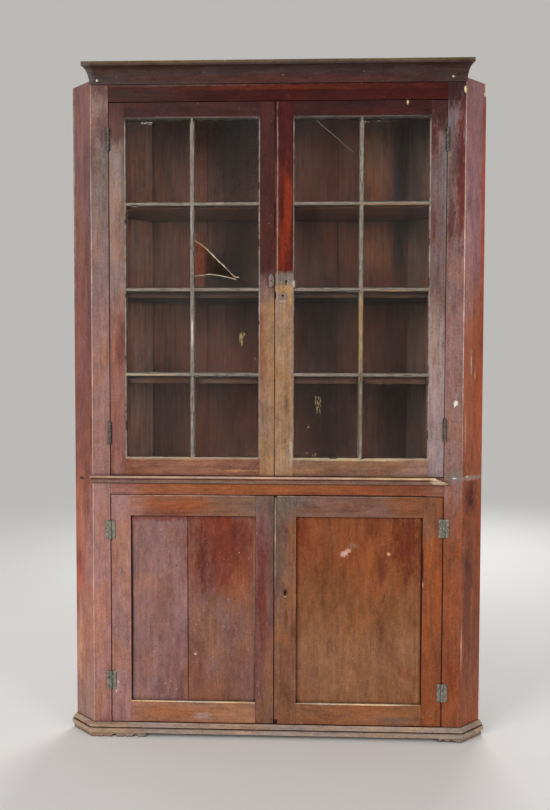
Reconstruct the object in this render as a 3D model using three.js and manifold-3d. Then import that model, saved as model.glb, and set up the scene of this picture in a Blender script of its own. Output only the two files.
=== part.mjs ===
// A softwood corner cupboard in one tall case: glazed doors above, panelled doors below.
// Millimetres, +Z up. The front faces -Y, and the whole stands on z = 0.
import * as THREE from "three";
import { mergeVertices } from "three/addons/utils/BufferGeometryUtils.js";
import Module from "manifold-3d";

const wasm = await Module();
wasm.setup();

// The case from above: a flat front, two canted returns, two side boards and a flat rear.
const frontWidth = 1140;
const frontStileWidth = 55.5;
const returnWidth = 101;
const returnTurn = Math.PI / 4;
const innerDepth = 265;
const frameThickness = 22;
const sideThickness = 16;
const rearThickness = 18;
const shelfThickness = 18;

// Heights above the floor.
const footHeight = 16;
const baseHeight = 28;
const lowerDoorBottom = 46;
const lowerDoorHeight = 714;
const waistMouldingTop = 820;
const waistMouldingHeight = 22.5;
const upperDoorBottom = 822;
const friezeVisible = 52;
const corniceHeight = 58;
const corniceAboveCase = 17;
const boxBelowFrieze = 29;
const doorGap = 2;

// Joints between pieces.
const seat = 0.3;
const tenonThickness = 7;
const tenonLength = 30;
const tenonMargin = 2;
const housing = 5;
const overrun = 4;

// Glass, and the bars that hold it.
const paneHeight = 254;
const paneThickness = 2;
const paneClearance = 1;
const paneColumns = 2;
const paneRows = 4;
const rebateDepth = 10;
const rebateWidth = 5;
const uprightWeb = 5;
const crossWeb = 4;
const barChamfer = 3;
const bridgeHeight = 6;

// Upper doors.
const upperHingeStile = 48;
const upperLeftMeeting = 44;
const upperRightMeeting = 54;
const upperTopRail = 48;
const upperBottomRail = 53;
const hingeSideGap = 1;
const meetingGap = 3;

// Lower doors.
const lowerHingeStile = 62;
const lowerLeftMeeting = 56;
const lowerRightMeeting = 66;
const lowerTopRail = 64;
const lowerBottomRail = 66;
const panelRecess = 9;
const grooveWidth = 7;
const grooveDepth = 9;
const panelPlay = 0.5;
const panelFeather = 42;
const panelSwell = 4.5;
const boardJoint = 2;

// Shelves, measured down from the centre line of the bar in front of each.
const shelfDrops = [1, 14, 18];
const shelfSetback = 4;
const bottomBoardThickness = 22;

// Butt hinges: let into the edges above, planted on the faces below.
const hingeLeaf = 1.8;
const upperHingeLength = 70;
const upperBarrel = 4;
const upperLeafWidth = 18;
const upperLeftHingeTopInset = 110;
const upperLeftHingeBottomInset = 130;
const upperRightHingeTopInset = 117;
const upperRightHingeBottomInset = 145;
const lowerHingeLength = 56;
const lowerBarrel = 3.6;
const lowerLeafWidth = 15.5;
const lowerLeftHingeTopInset = 109;
const lowerLeftHingeBottomInset = 131;
const lowerRightHingeTopInset = 96;
const lowerRightHingeBottomInset = 106;
const pinRadius = 1.6;
const pinClearance = 0.4;
const knuckleGap = 0.5;
const knuckles = 5;
const knuckleSides = 12;
const pinSides = 8;
const chipSides = 10;

// Locks in the right-hand doors, and the turn button on the left-hand glazed door.
const upperKeyHeight = 1419;
const lowerKeyHeight = 461;
const keyInset = 33;
const keyRadius = 3.6;
const keySlotWidth = 4;
const keySlotLength = 12;
const lockWidth = 43;
const lockHeight = 48;
const lockThickness = 10;
const lockBackWall = 1.2;
const boltHeight = 14;
const boltThickness = 5;
const boltLength = 24;
const boltClearance = 0.5;
const mortiseDepth = 20;
const buttonLength = 41;
const buttonWidth = 20;
const buttonThickness = 8;
const buttonDome = 3;
const buttonInset = 9.5;
const buttonSides = 28;

// Mouldings, as distances out from the front face.
const coveFoot = 3;
const coveHead = 38;
const coveTop = 44;
const corniceProjection = 42;
const coveSteps = 8;
const waistProjection = 14;
const waistFascia = 7;
const waistBead = 4.5;
const beadSteps = 6;
const baseProjection = 18;
const baseBead = 3.5;

// Old damage: the broken pane, the lost end of the waist moulding and the worn feet.
const brokenColumn = 1;
const brokenRow = 2;
const brokenOutlineShares = [
  [-0.02, 0.612], [0.177, 0.493], [0.347, 0.36], [0.516, 0.227], [0.622, 0.145], [0.69, 0.14],
  [0.87, 0.052], [0.8, 0.03], [0.644, 0.107], [0.618, 0.122], [0.516, 0.141], [0.38, 0.163],
  [0.227, 0.177], [0.092, 0.161], [-0.02, 0.147],
];
const waistBreakStart = 483;
const waistBreakEnd = 530;
const waistSplinter = 8;
const leftFootRun = 165;
const rightFootRun = 65;
const footThickness = 26;
const footChips = 5;
const footChipDepth = 5;
const notchRadius = 40;
const notchDepth = 3;
const notchHeight = 1375;
const notchSides = 48;
const rawNotchHeight = 37;
const rawNotchWidth = 7;
const panelJointShare = 0.456;
const rearJointShares = [-0.279, -0.027, 0.225];

// Everything below follows from the sizes above.
const halfFront = frontWidth / 2;
const halfOpening = halfFront - frontStileWidth;
const bothDoors = 2 * (halfOpening - hingeSideGap) - meetingGap;
const glassWidth = (bothDoors - 2 * upperHingeStile - upperLeftMeeting - upperRightMeeting) / 2;
const paneWidth = (glassWidth - (paneColumns - 1) * uprightWeb) / paneColumns - 2 * paneClearance;
const glassHeight = paneRows * (paneHeight + 2 * paneClearance) + (paneRows - 1) * crossWeb;
const leftDoorWidth = upperHingeStile + glassWidth + upperLeftMeeting;
const rightDoorWidth = upperHingeStile + glassWidth + upperRightMeeting;
const upperDoorHeight = upperBottomRail + glassHeight + upperTopRail;
const upperDoorTop = upperDoorBottom + upperDoorHeight;
const lowerDoorTop = lowerDoorBottom + lowerDoorHeight;
const friezeBottom = upperDoorTop + doorGap;
const corniceBottom = friezeBottom + friezeVisible;
const corniceTop = corniceBottom + corniceHeight;
const caseTop = corniceTop - corniceAboveCase;
const boxTop = caseTop - boxBelowFrieze;
const waistRailBottom = lowerDoorTop + doorGap;
const waistMouldingBottom = waistMouldingTop - waistMouldingHeight;
const bottomBoardTop = lowerDoorBottom - doorGap;
const rearFace = innerDepth + rearThickness;
const centreDepth = (rearFace - corniceProjection) / 2;
const mitreTan = Math.tan(returnTurn / 2);
const tenonShoulder = grooveDepth + tenonMargin;
const doors = {
  left: {
    hand: -1,
    width: leftDoorWidth,
    upperMeeting: upperLeftMeeting,
    lowerMeeting: lowerLeftMeeting,
    upperHinges: [upperLeftHingeTopInset, upperLeftHingeBottomInset],
    lowerHinges: [lowerLeftHingeTopInset, lowerLeftHingeBottomInset],
  },
  right: {
    hand: 1,
    width: rightDoorWidth,
    upperMeeting: upperRightMeeting,
    lowerMeeting: lowerRightMeeting,
    upperHinges: [upperRightHingeTopInset, upperRightHingeBottomInset],
    lowerHinges: [lowerRightHingeTopInset, lowerRightHingeBottomInset],
  },
};

const pine = { colour: 0x6f3a2b, roughness: 0.55, metalness: 0 };
const darkPine = { colour: 0x4f2a26, roughness: 0.55, metalness: 0 };
const boardPine = { colour: 0x5a3a2e, roughness: 0.8, metalness: 0 };
const paleBars = { colour: 0xa79a86, roughness: 0.7, metalness: 0 };
const windowGlass = { colour: 0xcdd6d2, roughness: 0.1, metalness: 0 };
const agedIron = { colour: 0x55544a, roughness: 0.6, metalness: 0.7 };
const brass = { colour: 0x8a7440, roughness: 0.5, metalness: 0.9 };

const cupboard = new THREE.Group();

// Solids: three.js shapes become exact bodies that can be joined and cut.
function solid(geometry) {
  const bare = geometry.index ? geometry.toNonIndexed() : geometry.clone();
  bare.deleteAttribute("normal");
  bare.deleteAttribute("uv");
  const welded = mergeVertices(bare);
  return new wasm.Manifold(new wasm.Mesh({
    numProp: 3,
    vertProperties: new Float32Array(welded.attributes.position.array),
    triVerts: new Uint32Array(welded.index.array),
  }));
}

function box(x0, x1, y0, y1, z0, z1) {
  const shape = new THREE.BoxGeometry(Math.abs(x1 - x0), y1 - y0, z1 - z0);
  return solid(shape.translate((x0 + x1) / 2, (y0 + y1) / 2, (z0 + z1) / 2));
}

// A plan outline raised from one height to another.
function raised(points, z0, z1) {
  const outline = new THREE.Shape(points.map(([x, y]) => new THREE.Vector2(x, y)));
  const shape = new THREE.ExtrudeGeometry(outline, { depth: z1 - z0, bevelEnabled: false });
  return solid(shape.translate(0, 0, z0));
}

// An outline in the plane of the front, in x and z, carried back from one depth to another.
function carriedBack(points, y0, y1) {
  const outline = new THREE.Shape(points.map(([x, z]) => new THREE.Vector2(x, z)));
  const shape = new THREE.ExtrudeGeometry(outline, { depth: y1 - y0, bevelEnabled: false });
  return solid(shape.rotateX(Math.PI / 2).translate(0, y1, 0));
}

function upright(radius, x, y, z0, z1, sides) {
  const shape = new THREE.CylinderGeometry(radius, radius, z1 - z0, sides);
  return solid(shape.rotateX(Math.PI / 2).translate(x, y, (z0 + z1) / 2));
}

function joined(parts) {
  return parts.reduce((whole, part) => whole.add(part));
}

function cut(body, cutters) {
  return cutters.reduce((whole, cutter) => whole.subtract(cutter), body);
}

function addPiece(name, body, finish) {
  const made = body.getMesh();
  const geometry = new THREE.BufferGeometry();
  geometry.setAttribute("position", new THREE.BufferAttribute(made.vertProperties, 3));
  geometry.setIndex(new THREE.BufferAttribute(made.triVerts, 1));
  geometry.computeVertexNormals();
  const { colour, roughness, metalness } = finish;
  const material = new THREE.MeshStandardMaterial({ color: colour, roughness, metalness });
  const mesh = new THREE.Mesh(geometry, material);
  mesh.name = name;
  cupboard.add(mesh);
}

// Rings of equal point counts, skinned together and closed at both ends.
function lofted(rings) {
  const count = rings[0].length;
  const places = rings.flat();
  const faces = [];
  for (let r = 0; r + 1 < rings.length; r += 1) {
    for (let i = 0; i < count; i += 1) {
      const a = r * count + i;
      const b = r * count + (i + 1) % count;
      faces.push([a, b, b + count], [a, b + count, a + count]);
    }
  }
  const last = (rings.length - 1) * count;
  const caps = THREE.ShapeUtils.triangulateShape(flattened(rings[0]), []);
  const ends = THREE.ShapeUtils.triangulateShape(flattened(rings[rings.length - 1]), []);
  caps.forEach(([a, b, c]) => faces.push([c, b, a]));
  ends.forEach(([a, b, c]) => faces.push([a + last, b + last, c + last]));
  const geometry = new THREE.BufferGeometry();
  const flat = faces.flat().flatMap((i) => places[i]);
  geometry.setAttribute("position", new THREE.Float32BufferAttribute(flat, 3));
  return outward(geometry);
}

// A ring's points in the two directions across its own plane.
function flattened(ring) {
  const points = ring.map((p) => new THREE.Vector3(...p));
  const normal = new THREE.Vector3();
  points.forEach((p, i) => {
    const next = points[(i + 1) % points.length];
    normal.add(new THREE.Vector3().crossVectors(p, next));
  });
  normal.normalize();
  const across = new THREE.Vector3().subVectors(points[1], points[0]).normalize();
  const other = new THREE.Vector3().crossVectors(normal, across);
  return points.map((p) => new THREE.Vector2(p.dot(across), p.dot(other)));
}

// Turns a closed skin the right way round if its volume comes out negative.
function outward(geometry) {
  const p = geometry.attributes.position.array;
  const corners = [0, 1, 2].map(() => new THREE.Vector3());
  let volume = 0;
  for (let i = 0; i < p.length; i += 9) {
    corners.forEach((corner, k) => corner.fromArray(p, i + 3 * k));
    volume += corners[0].dot(new THREE.Vector3().crossVectors(corners[1], corners[2]));
  }
  if (volume < 0) {
    for (let i = 0; i < p.length; i += 9) {
      const first = Array.from(p.slice(i, i + 3));
      p.copyWithin(i, i + 6, i + 9);
      p.set(first, i + 6);
    }
  }
  return solid(geometry);
}

// A plan point: s runs back along the return from the front corner, t runs into the case.
function plan(hand, s, t) {
  const x = halfFront + s * Math.cos(returnTurn) - t * Math.sin(returnTurn);
  const y = s * Math.sin(returnTurn) + t * Math.cos(returnTurn);
  return [hand * x, y];
}

// How far into the case a line at distance s along the return reaches the depth y.
function reach(s, y) {
  return (y - s * Math.sin(returnTurn)) / Math.cos(returnTurn);
}

// Half of the outline inside the case, from its front edge round to the rear boards.
function insideHalf(hand, frontY, entry) {
  const t = frameThickness + seat;
  const s = returnWidth - sideThickness - seat + entry;
  const startS = (frontY - t * Math.cos(returnTurn)) / Math.sin(returnTurn);
  return [
    plan(hand, startS, t),
    plan(hand, s, t),
    plan(hand, s, reach(s, innerDepth - seat)),
  ];
}

function insideOutline(frontY, entry) {
  return [...insideHalf(1, frontY, entry), ...insideHalf(-1, frontY, entry).reverse()];
}

function shelfBody(frontY, top, thickness) {
  return raised(insideOutline(frontY, housing + seat), top - thickness, top);
}

function housingCut(frontY, top, thickness) {
  const grown = insideOutline(frontY, housing + 2 * seat);
  return raised(grown, top - thickness - seat, top + seat);
}

// Heights of the rows of bars, and of the shelves behind them.
function barCentre(row) {
  const pitch = paneHeight + 2 * paneClearance + crossWeb;
  return upperDoorBottom + upperBottomRail + row * pitch - crossWeb / 2;
}

const shelfTops = shelfDrops.map((drop, i) => barCentre(paneRows - 1 - i) - drop + shelfThickness / 2);
const shelfFront = frameThickness + shelfSetback;
const boards = [
  ...shelfTops.map((top) => ({ front: shelfFront, top, thickness: shelfThickness })),
  { front: frameThickness + seat, top: waistMouldingTop, thickness: shelfThickness },
  { front: frameThickness + seat, top: bottomBoardTop, thickness: bottomBoardThickness },
  { front: frameThickness + seat, top: boxTop, thickness: shelfThickness },
];

// A tenon on the end of a rail, and the hole that takes it.
function tenon(shoulderX, direction, y, z0, z1, length, play) {
  const from = shoulderX - direction * (overrun - 2 * play);
  const to = shoulderX + direction * (length + 2 * play);
  const low = z0 + tenonShoulder - play;
  const high = z1 - tenonShoulder + play;
  return box(from, to, y - play, y + tenonThickness + play, low, high);
}

// Front stiles and returns, mitred to each other along the front corners. Only the front frame rises
// behind the cornice: the returns, sides, rear and top board stop a little lower.
function makeFrontStile(hand, side) {
  const edge = halfOpening;
  const back = halfFront - frameThickness * mitreTan;
  const outline = [[edge, 0], [halfFront, 0], [back, frameThickness], [edge, frameThickness]];
  const body = raised(outline.map(([x, y]) => [hand * x, y]), footHeight + seat, caseTop);
  const tenonY = (frameThickness - tenonThickness) / 2;
  const holes = [
    tenon(hand * edge, hand, tenonY, friezeBottom, caseTop, tenonLength, seat),
    tenon(hand * edge, hand, tenonY, waistRailBottom, waistMouldingTop, tenonLength, seat),
  ];
  const leafHoles = hingeCentres("upper", side).map((z) => hingeRecess(hand, z, 1));
  addPiece(`front_stile_${side}`, cut(body, [...holes, ...leafHoles]), pine);
}

function makeReturn(hand, side) {
  const mitre = frameThickness * mitreTan;
  const outline = [
    plan(hand, seat, 0),
    plan(hand, returnWidth, 0),
    plan(hand, returnWidth, frameThickness),
    plan(hand, mitre + seat, frameThickness),
  ];
  let body = raised(outline, footHeight + seat, boxTop);
  if (hand > 0) {
    const missing = [
      plan(hand, returnWidth - rawNotchWidth, -overrun),
      plan(hand, returnWidth + overrun, -overrun),
      plan(hand, returnWidth + overrun, frameThickness / 2),
      plan(hand, returnWidth - rawNotchWidth / 2, frameThickness / 2),
    ];
    body = body.subtract(raised(missing, boxTop - rawNotchHeight, boxTop + overrun));
  }
  addPiece(`return_${side}`, body, pine);
}

function makeSideBoard(hand, side) {
  const inner = returnWidth - sideThickness;
  const end = innerDepth - seat;
  const outline = [
    plan(hand, inner, frameThickness + seat),
    plan(hand, returnWidth, frameThickness + seat),
    plan(hand, returnWidth, reach(returnWidth, end)),
    plan(hand, inner, reach(inner, end)),
  ];
  const grooves = boards.map(({ front, top, thickness }) => housingCut(front - seat, top, thickness));
  addPiece(`side_board_${side}`, cut(raised(outline, 0, boxTop), grooves), boardPine);
}

// A V-shaped line sunk into a face at depth y. Inward is 1 where the wood lies behind the face.
function jointLine(x, y, inward) {
  const wide = boardJoint / 2;
  const points = [[-wide, -overrun], [wide, -overrun], [wide, 0], [0, boardJoint], [-wide, 0]];
  return points.map(([across, deep]) => [x + inward * across, y + inward * deep]);
}

// The rear boards stand edge to edge, with their joints left as shallow lines on both faces.
function makeRearBoards() {
  const front = plan(1, returnWidth, reach(returnWidth, innerDepth))[0];
  const back = plan(1, returnWidth, reach(returnWidth, rearFace))[0];
  const outline = [[-front, innerDepth], [front, innerDepth], [back, rearFace], [-back, rearFace]];
  const body = raised(outline, 0, boxTop);
  const lines = rearJointShares.flatMap((share) => {
    const x = share * 2 * back;
    const outlines = [jointLine(x, innerDepth, 1), jointLine(x, rearFace, -1)];
    return outlines.map((points) => raised(points, -overrun, boxTop + overrun));
  });
  addPiece("rear_boards", cut(body, lines), boardPine);
}

function makeRail(name, z0, z1) {
  const shoulder = halfOpening - seat;
  const tenonY = (frameThickness - tenonThickness) / 2;
  const body = joined([
    box(-shoulder, shoulder, 0, frameThickness, z0, z1),
    tenon(shoulder, 1, tenonY, z0, z1, tenonLength, 0),
    tenon(-shoulder, -1, tenonY, z0, z1, tenonLength, 0),
  ]);
  addPiece(name, body, darkPine);
}

function makeShelves() {
  shelfTops.forEach((top, i) => {
    addPiece(`upper_shelf_${i + 1}`, shelfBody(shelfFront, top, shelfThickness), boardPine);
  });
  const behindRail = frameThickness + seat;
  addPiece("waist_deck", shelfBody(behindRail, waistMouldingTop, shelfThickness), boardPine);
  addPiece("top_board", shelfBody(behindRail, boxTop, shelfThickness), boardPine);
  const sill = halfOpening - seat;
  const sillFoot = bottomBoardTop - bottomBoardThickness;
  const body = joined([
    shelfBody(behindRail, bottomBoardTop, bottomBoardThickness),
    box(-sill, sill, 0, behindRail + overrun, sillFoot, bottomBoardTop),
  ]);
  addPiece("bottom_board", body, boardPine);
}

// Mouldings: a profile of [distance out, height] carried along a path across the front.
function mouldedRun(profile, stations, z0) {
  const rings = stations.map(({ at, out }) => profile.map(([p, z]) => [
    at[0] + out[0] * p,
    at[1] + out[1] * p,
    z0 + z,
  ]));
  return lofted(rings);
}

// The front corner of a return, with the direction in which a mitred moulding leaves it.
function cornerStation(hand) {
  return { at: [hand * halfFront, 0], out: [hand * mitreTan, -1] };
}

function returnStation(hand) {
  return { at: plan(hand, returnWidth, 0), out: [hand * Math.sin(returnTurn), -Math.cos(returnTurn)] };
}

// Points on a quarter of an ellipse or on a half round, for coves and beads.
function arcPoints(centre, radii, from, to, steps) {
  return Array.from({ length: steps + 1 }, (_, i) => {
    const angle = from + (to - from) * i / steps;
    return [centre[0] + radii[0] * Math.cos(angle), centre[1] + radii[1] * Math.sin(angle)];
  });
}

function makeCornice() {
  const cove = arcPoints([coveHead, 0], [coveHead - coveFoot, coveTop], Math.PI, Math.PI / 2, coveSteps);
  const profile = [
    [seat, 0],
    ...cove,
    [corniceProjection, coveTop],
    [corniceProjection, corniceHeight],
    [seat, corniceHeight],
  ];
  const body = mouldedRun(profile, [cornerStation(-1), cornerStation(1)], corniceBottom);
  addPiece("cornice", body, darkPine);
}

// A bead over a flat fascia. Its right end is broken off on a slant.
function makeWaistMoulding() {
  const beadCentre = [waistProjection - waistBead, waistMouldingHeight - waistBead];
  const bead = arcPoints(beadCentre, [waistBead, waistBead], Math.PI / 2, -Math.PI / 2, beadSteps);
  const quirk = waistMouldingHeight - 2 * waistBead - boardJoint / 2;
  const profile = [
    [seat, waistMouldingHeight],
    ...bead,
    [waistFascia, quirk],
    [waistFascia, boardJoint],
    [waistFascia - boardJoint, 0],
    [seat, 0],
  ];
  const end = { at: [waistBreakEnd, 0], out: [0, -1] };
  const whole = mouldedRun(profile, [cornerStation(-1), end], waistMouldingBottom);
  const low = waistMouldingBottom + waistSplinter;
  const high = waistMouldingTop + overrun;
  const breakOut = carriedBack([
    [waistBreakStart, high],
    [waistBreakStart + waistSplinter, waistMouldingTop - waistBead],
    [(waistBreakStart + waistBreakEnd) / 2, low + waistSplinter / 2],
    [waistBreakEnd + overrun, low - waistSplinter / 2],
    [waistBreakEnd + overrun, high],
  ], -waistProjection - overrun, seat / 2);
  addPiece("waist_moulding", whole.subtract(breakOut), darkPine);
}

// The base moulding runs round the returns, with what is left of the bracket feet under it.
function makeBaseMoulding() {
  const shoulder = baseHeight - 2 * baseBead;
  const beadCentre = [baseProjection - 2 * baseBead, shoulder - baseBead];
  const bead = arcPoints(beadCentre, [baseBead, baseBead], Math.PI / 2, -Math.PI / 2, beadSteps);
  const profile = [
    [seat, baseHeight],
    [baseBead, baseHeight],
    ...bead,
    [baseProjection, shoulder - 2 * baseBead],
    [baseProjection, 0],
    [seat, 0],
  ];
  const stations = [returnStation(-1), cornerStation(-1), cornerStation(1), returnStation(1)];
  const run = mouldedRun(profile, stations, footHeight);
  const feet = [makeFoot(-1, leftFootRun), makeFoot(1, rightFootRun)];
  addPiece("base_moulding", joined([run, ...feet]), pine);
}

function makeFoot(hand, run) {
  const face = baseProjection - 2 * baseBead;
  const depth = footThickness;
  const profile = [
    [face, 0], [face, footHeight + overrun], [seat, footHeight + overrun], [seat, footHeight],
    [face - depth, footHeight], [face - depth, 0],
  ];
  const inner = { at: [hand * (halfFront - run), 0], out: [0, -1] };
  const body = mouldedRun(profile, [inner, cornerStation(hand), returnStation(hand)], 0);
  const chips = Array.from({ length: footChips }, (_, i) => {
    const x = hand * (halfFront - run * (1 - i / footChips));
    const chip = new THREE.SphereGeometry(footChipDepth * (1 + (i % 2)), chipSides, chipSides / 2);
    return solid(chip.translate(x, -face, 0));
  });
  return cut(body, chips);
}

// Doors. The hinge edge is at the opening's side, the meeting edge near the middle.
function doorEdges(door) {
  const hingeX = door.hand * (halfOpening - hingeSideGap);
  return { hingeX, meetingX: hingeX - door.hand * door.width };
}

// Heights of a door's two hinges, the top one first.
function hingeCentres(level, side) {
  if (level === "upper") {
    const [top, bottom] = doors[side].upperHinges;
    return [upperDoorTop - top, upperDoorBottom + bottom];
  }
  const [top, bottom] = doors[side].lowerHinges;
  return [lowerDoorTop - top, lowerDoorBottom + bottom];
}

// A shallow bed for a hinge leaf. Toward is 1 in the case's edge and -1 in the door's edge.
function hingeRecess(hand, z, toward) {
  const edge = toward > 0 ? halfOpening : halfOpening - hingeSideGap;
  const half = upperHingeLength / 2 + seat;
  const from = hand * (edge - toward * overrun);
  const to = hand * (edge + toward * (hingeLeaf + 2 * seat));
  return box(from, to, -overrun, upperLeafWidth + seat, z - half, z + half);
}

// An upright of a glazed door: a full face, and a thinner lip behind the glass.
function glazedStile(hand, outerX, width, toward) {
  const faceX = outerX + toward * width;
  const lipX = faceX + toward * rebateWidth;
  return joined([
    box(outerX, faceX, 0, frameThickness, upperDoorBottom, upperDoorTop),
    box(faceX - toward * overrun, lipX, rebateDepth, frameThickness, upperDoorBottom, upperDoorTop),
  ]);
}

function glazedRail(x0, x1, z0, z1, lipSide) {
  const inner = rebateWidth + seat;
  const lipZ = lipSide > 0 ? z1 + rebateWidth : z0 - rebateWidth;
  const y = rebateDepth + seat;
  return joined([
    box(x0 + inner, x1 - inner, 0, frameThickness, z0, z1),
    box(x0 + seat, x1 - seat, 0, rebateDepth - seat, z0, z1),
    box(x0 + inner, x1 - inner, rebateDepth, frameThickness, Math.min(z0, lipZ), Math.max(z1, lipZ)),
    tenon(x0 + inner, -1, y, z0, z1, tenonLength, 0),
    tenon(x1 - inner, 1, y, z0, z1, tenonLength, 0),
  ]);
}

// The section of a glazing bar: a thin web between the panes and a chamfered bar behind them.
function barSection(web, width) {
  return [
    [-web / 2, 0], [web / 2, 0], [web / 2, rebateDepth], [width / 2, rebateDepth],
    [width / 2, frameThickness - barChamfer], [width / 2 - barChamfer, frameThickness],
    [-width / 2 + barChamfer, frameThickness], [-width / 2, frameThickness - barChamfer],
    [-width / 2, rebateDepth], [-web / 2, rebateDepth],
  ];
}

function uprightBar(x, z0, z1) {
  const section = barSection(uprightWeb, uprightWeb + 2 * rebateWidth);
  const body = raised(section.map(([across, y]) => [x + across, y]), z0 + seat, z1 - seat);
  const trim = rebateWidth + seat;
  const half = uprightWeb / 2 + rebateWidth + overrun;
  const ends = [z0, z1].map((z, i) => {
    const low = i === 0 ? z - overrun : z - trim;
    const high = i === 0 ? z + trim : z + overrun;
    return box(x - half, x + half, rebateDepth - seat, frameThickness + overrun, low, high);
  });
  return cut(body, ends);
}

function crossBar(z, x0, x1) {
  const section = barSection(crossWeb, crossWeb + 2 * rebateWidth);
  const outline = new THREE.Shape(section.map(([across, y]) => new THREE.Vector2(y, across)));
  const length = x1 - x0 - 2 * seat;
  const shape = new THREE.ExtrudeGeometry(outline, { depth: length, bevelEnabled: false });
  shape.applyMatrix4(new THREE.Matrix4().makeBasis(
    new THREE.Vector3(0, 1, 0), new THREE.Vector3(0, 0, 1), new THREE.Vector3(1, 0, 0)));
  const body = solid(shape.translate(x0 + seat, 0, z));
  const trim = rebateWidth + seat;
  const half = crossWeb / 2 + rebateWidth + overrun;
  const ends = [x0, x1].map((x, i) => {
    const low = i === 0 ? x - overrun : x - trim;
    const high = i === 0 ? x + trim : x + overrun;
    return box(low, high, rebateDepth - seat, frameThickness + overrun, z - half, z + half);
  });
  return cut(body, ends);
}

// Where each pane lies, from the left and from the bottom.
function paneBox(x0, z0, column, row) {
  const left = x0 + paneClearance + column * (paneWidth + 2 * paneClearance + uprightWeb);
  const low = z0 + paneClearance + row * (paneHeight + 2 * paneClearance + crossWeb);
  return { left, low };
}

// Small tabs join the panes into one sheet. They pass through slots in the webs of the bars.
function paneBridges(x0, z0, grow) {
  const y = rebateDepth - seat - paneThickness - grow;
  const back = rebateDepth - seat + grow;
  const half = bridgeHeight / 2 + grow;
  const tabs = [];
  for (let row = 0; row < paneRows; row += 1) {
    for (let column = 0; column < paneColumns; column += 1) {
      const { left, low } = paneBox(x0, z0, column, row);
      const middleZ = low + paneHeight / 2;
      const middleX = left + paneWidth / 2;
      const wide = 2 * paneClearance + overrun;
      if (column + 1 < paneColumns) {
        const x = left + paneWidth + paneClearance + uprightWeb / 2;
        tabs.push(box(x - wide, x + wide, y, back, middleZ - half, middleZ + half));
      }
      if (row + 1 < paneRows) {
        const z = low + paneHeight + paneClearance + crossWeb / 2;
        tabs.push(box(middleX - half, middleX + half, y, back, z - wide, z + wide));
      }
    }
  }
  return tabs;
}

function makeGlass(side, x0, z0) {
  const y = rebateDepth - seat - paneThickness;
  const panes = [];
  for (let row = 0; row < paneRows; row += 1) {
    for (let column = 0; column < paneColumns; column += 1) {
      const { left, low } = paneBox(x0, z0, column, row);
      panes.push(box(left, left + paneWidth, y, y + paneThickness, low, low + paneHeight));
    }
  }
  let sheet = joined([...panes, ...paneBridges(x0, z0, 0)]);
  if (side === "left") {
    const { left, low } = paneBox(x0, z0, brokenColumn, brokenRow);
    const outline = brokenOutlineShares.map(([u, v]) => [left + u * paneWidth, low + v * paneHeight]);
    sheet = sheet.subtract(carriedBack(outline, y - overrun, y + paneThickness + overrun));
  }
  addPiece(`upper_${side}_glass`, sheet, windowGlass);
}

function makeUpperDoor(side) {
  const door = doors[side];
  const { hand } = door;
  const { hingeX, meetingX } = doorEdges(door);
  const hingeFace = hingeX - hand * upperHingeStile;
  const meetingFace = meetingX + hand * door.upperMeeting;
  const x0 = Math.min(hingeFace, meetingFace);
  const x1 = Math.max(hingeFace, meetingFace);
  const z0 = upperDoorBottom + upperBottomRail;
  const z1 = z0 + glassHeight;
  const tenonHoles = [x0, x1].flatMap((x, i) => {
    const direction = i === 0 ? -1 : 1;
    const shoulder = x - direction * rebateWidth;
    const y = rebateDepth + seat;
    return [
      tenon(shoulder, direction, y, upperDoorBottom, z0, tenonLength, seat),
      tenon(shoulder, direction, y, z1, upperDoorTop, tenonLength, seat),
    ];
  });
  const recesses = hingeCentres("upper", side).map((z) => hingeRecess(hand, z, -1));
  const hingeStile = glazedStile(hand, hingeX, upperHingeStile, -hand);
  addPiece(`upper_${side}_hinge_stile`, cut(hingeStile, [...tenonHoles, ...recesses]), pine);
  let meetingStile = cut(glazedStile(hand, meetingX, door.upperMeeting, hand), tenonHoles);
  if (side === "right") {
    meetingStile = cut(meetingStile, [...lockRecess(meetingX, upperKeyHeight), fingerNotch(meetingX)]);
  } else {
    meetingStile = meetingStile.subtract(boltMortise(meetingX));
  }
  addPiece(`upper_${side}_meeting_stile`, meetingStile, pine);
  addPiece(`upper_${side}_top_rail`, glazedRail(x0, x1, z1, upperDoorTop, -1), pine);
  addPiece(`upper_${side}_bottom_rail`, glazedRail(x0, x1, upperDoorBottom, z0, 1), pine);
  const bars = [];
  for (let column = 1; column < paneColumns; column += 1) {
    const x = paneBox(x0, z0, column, 0).left - paneClearance - uprightWeb / 2;
    bars.push(uprightBar(x, z0, z1));
  }
  for (let row = 1; row < paneRows; row += 1) {
    bars.push(crossBar(barCentre(row), x0, x1));
  }
  addPiece(`upper_${side}_glazing_bars`, cut(joined(bars), paneBridges(x0, z0, seat)), paleBars);
  makeGlass(side, x0, z0);
}

// A worn hollow in the edge where fingers pull the door.
function fingerNotch(meetingX) {
  const length = frameThickness + 2 * overrun;
  const shape = new THREE.CylinderGeometry(notchRadius, notchRadius, length, notchSides);
  return solid(shape.translate(meetingX + notchDepth - notchRadius, frameThickness / 2, notchHeight));
}

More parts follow.
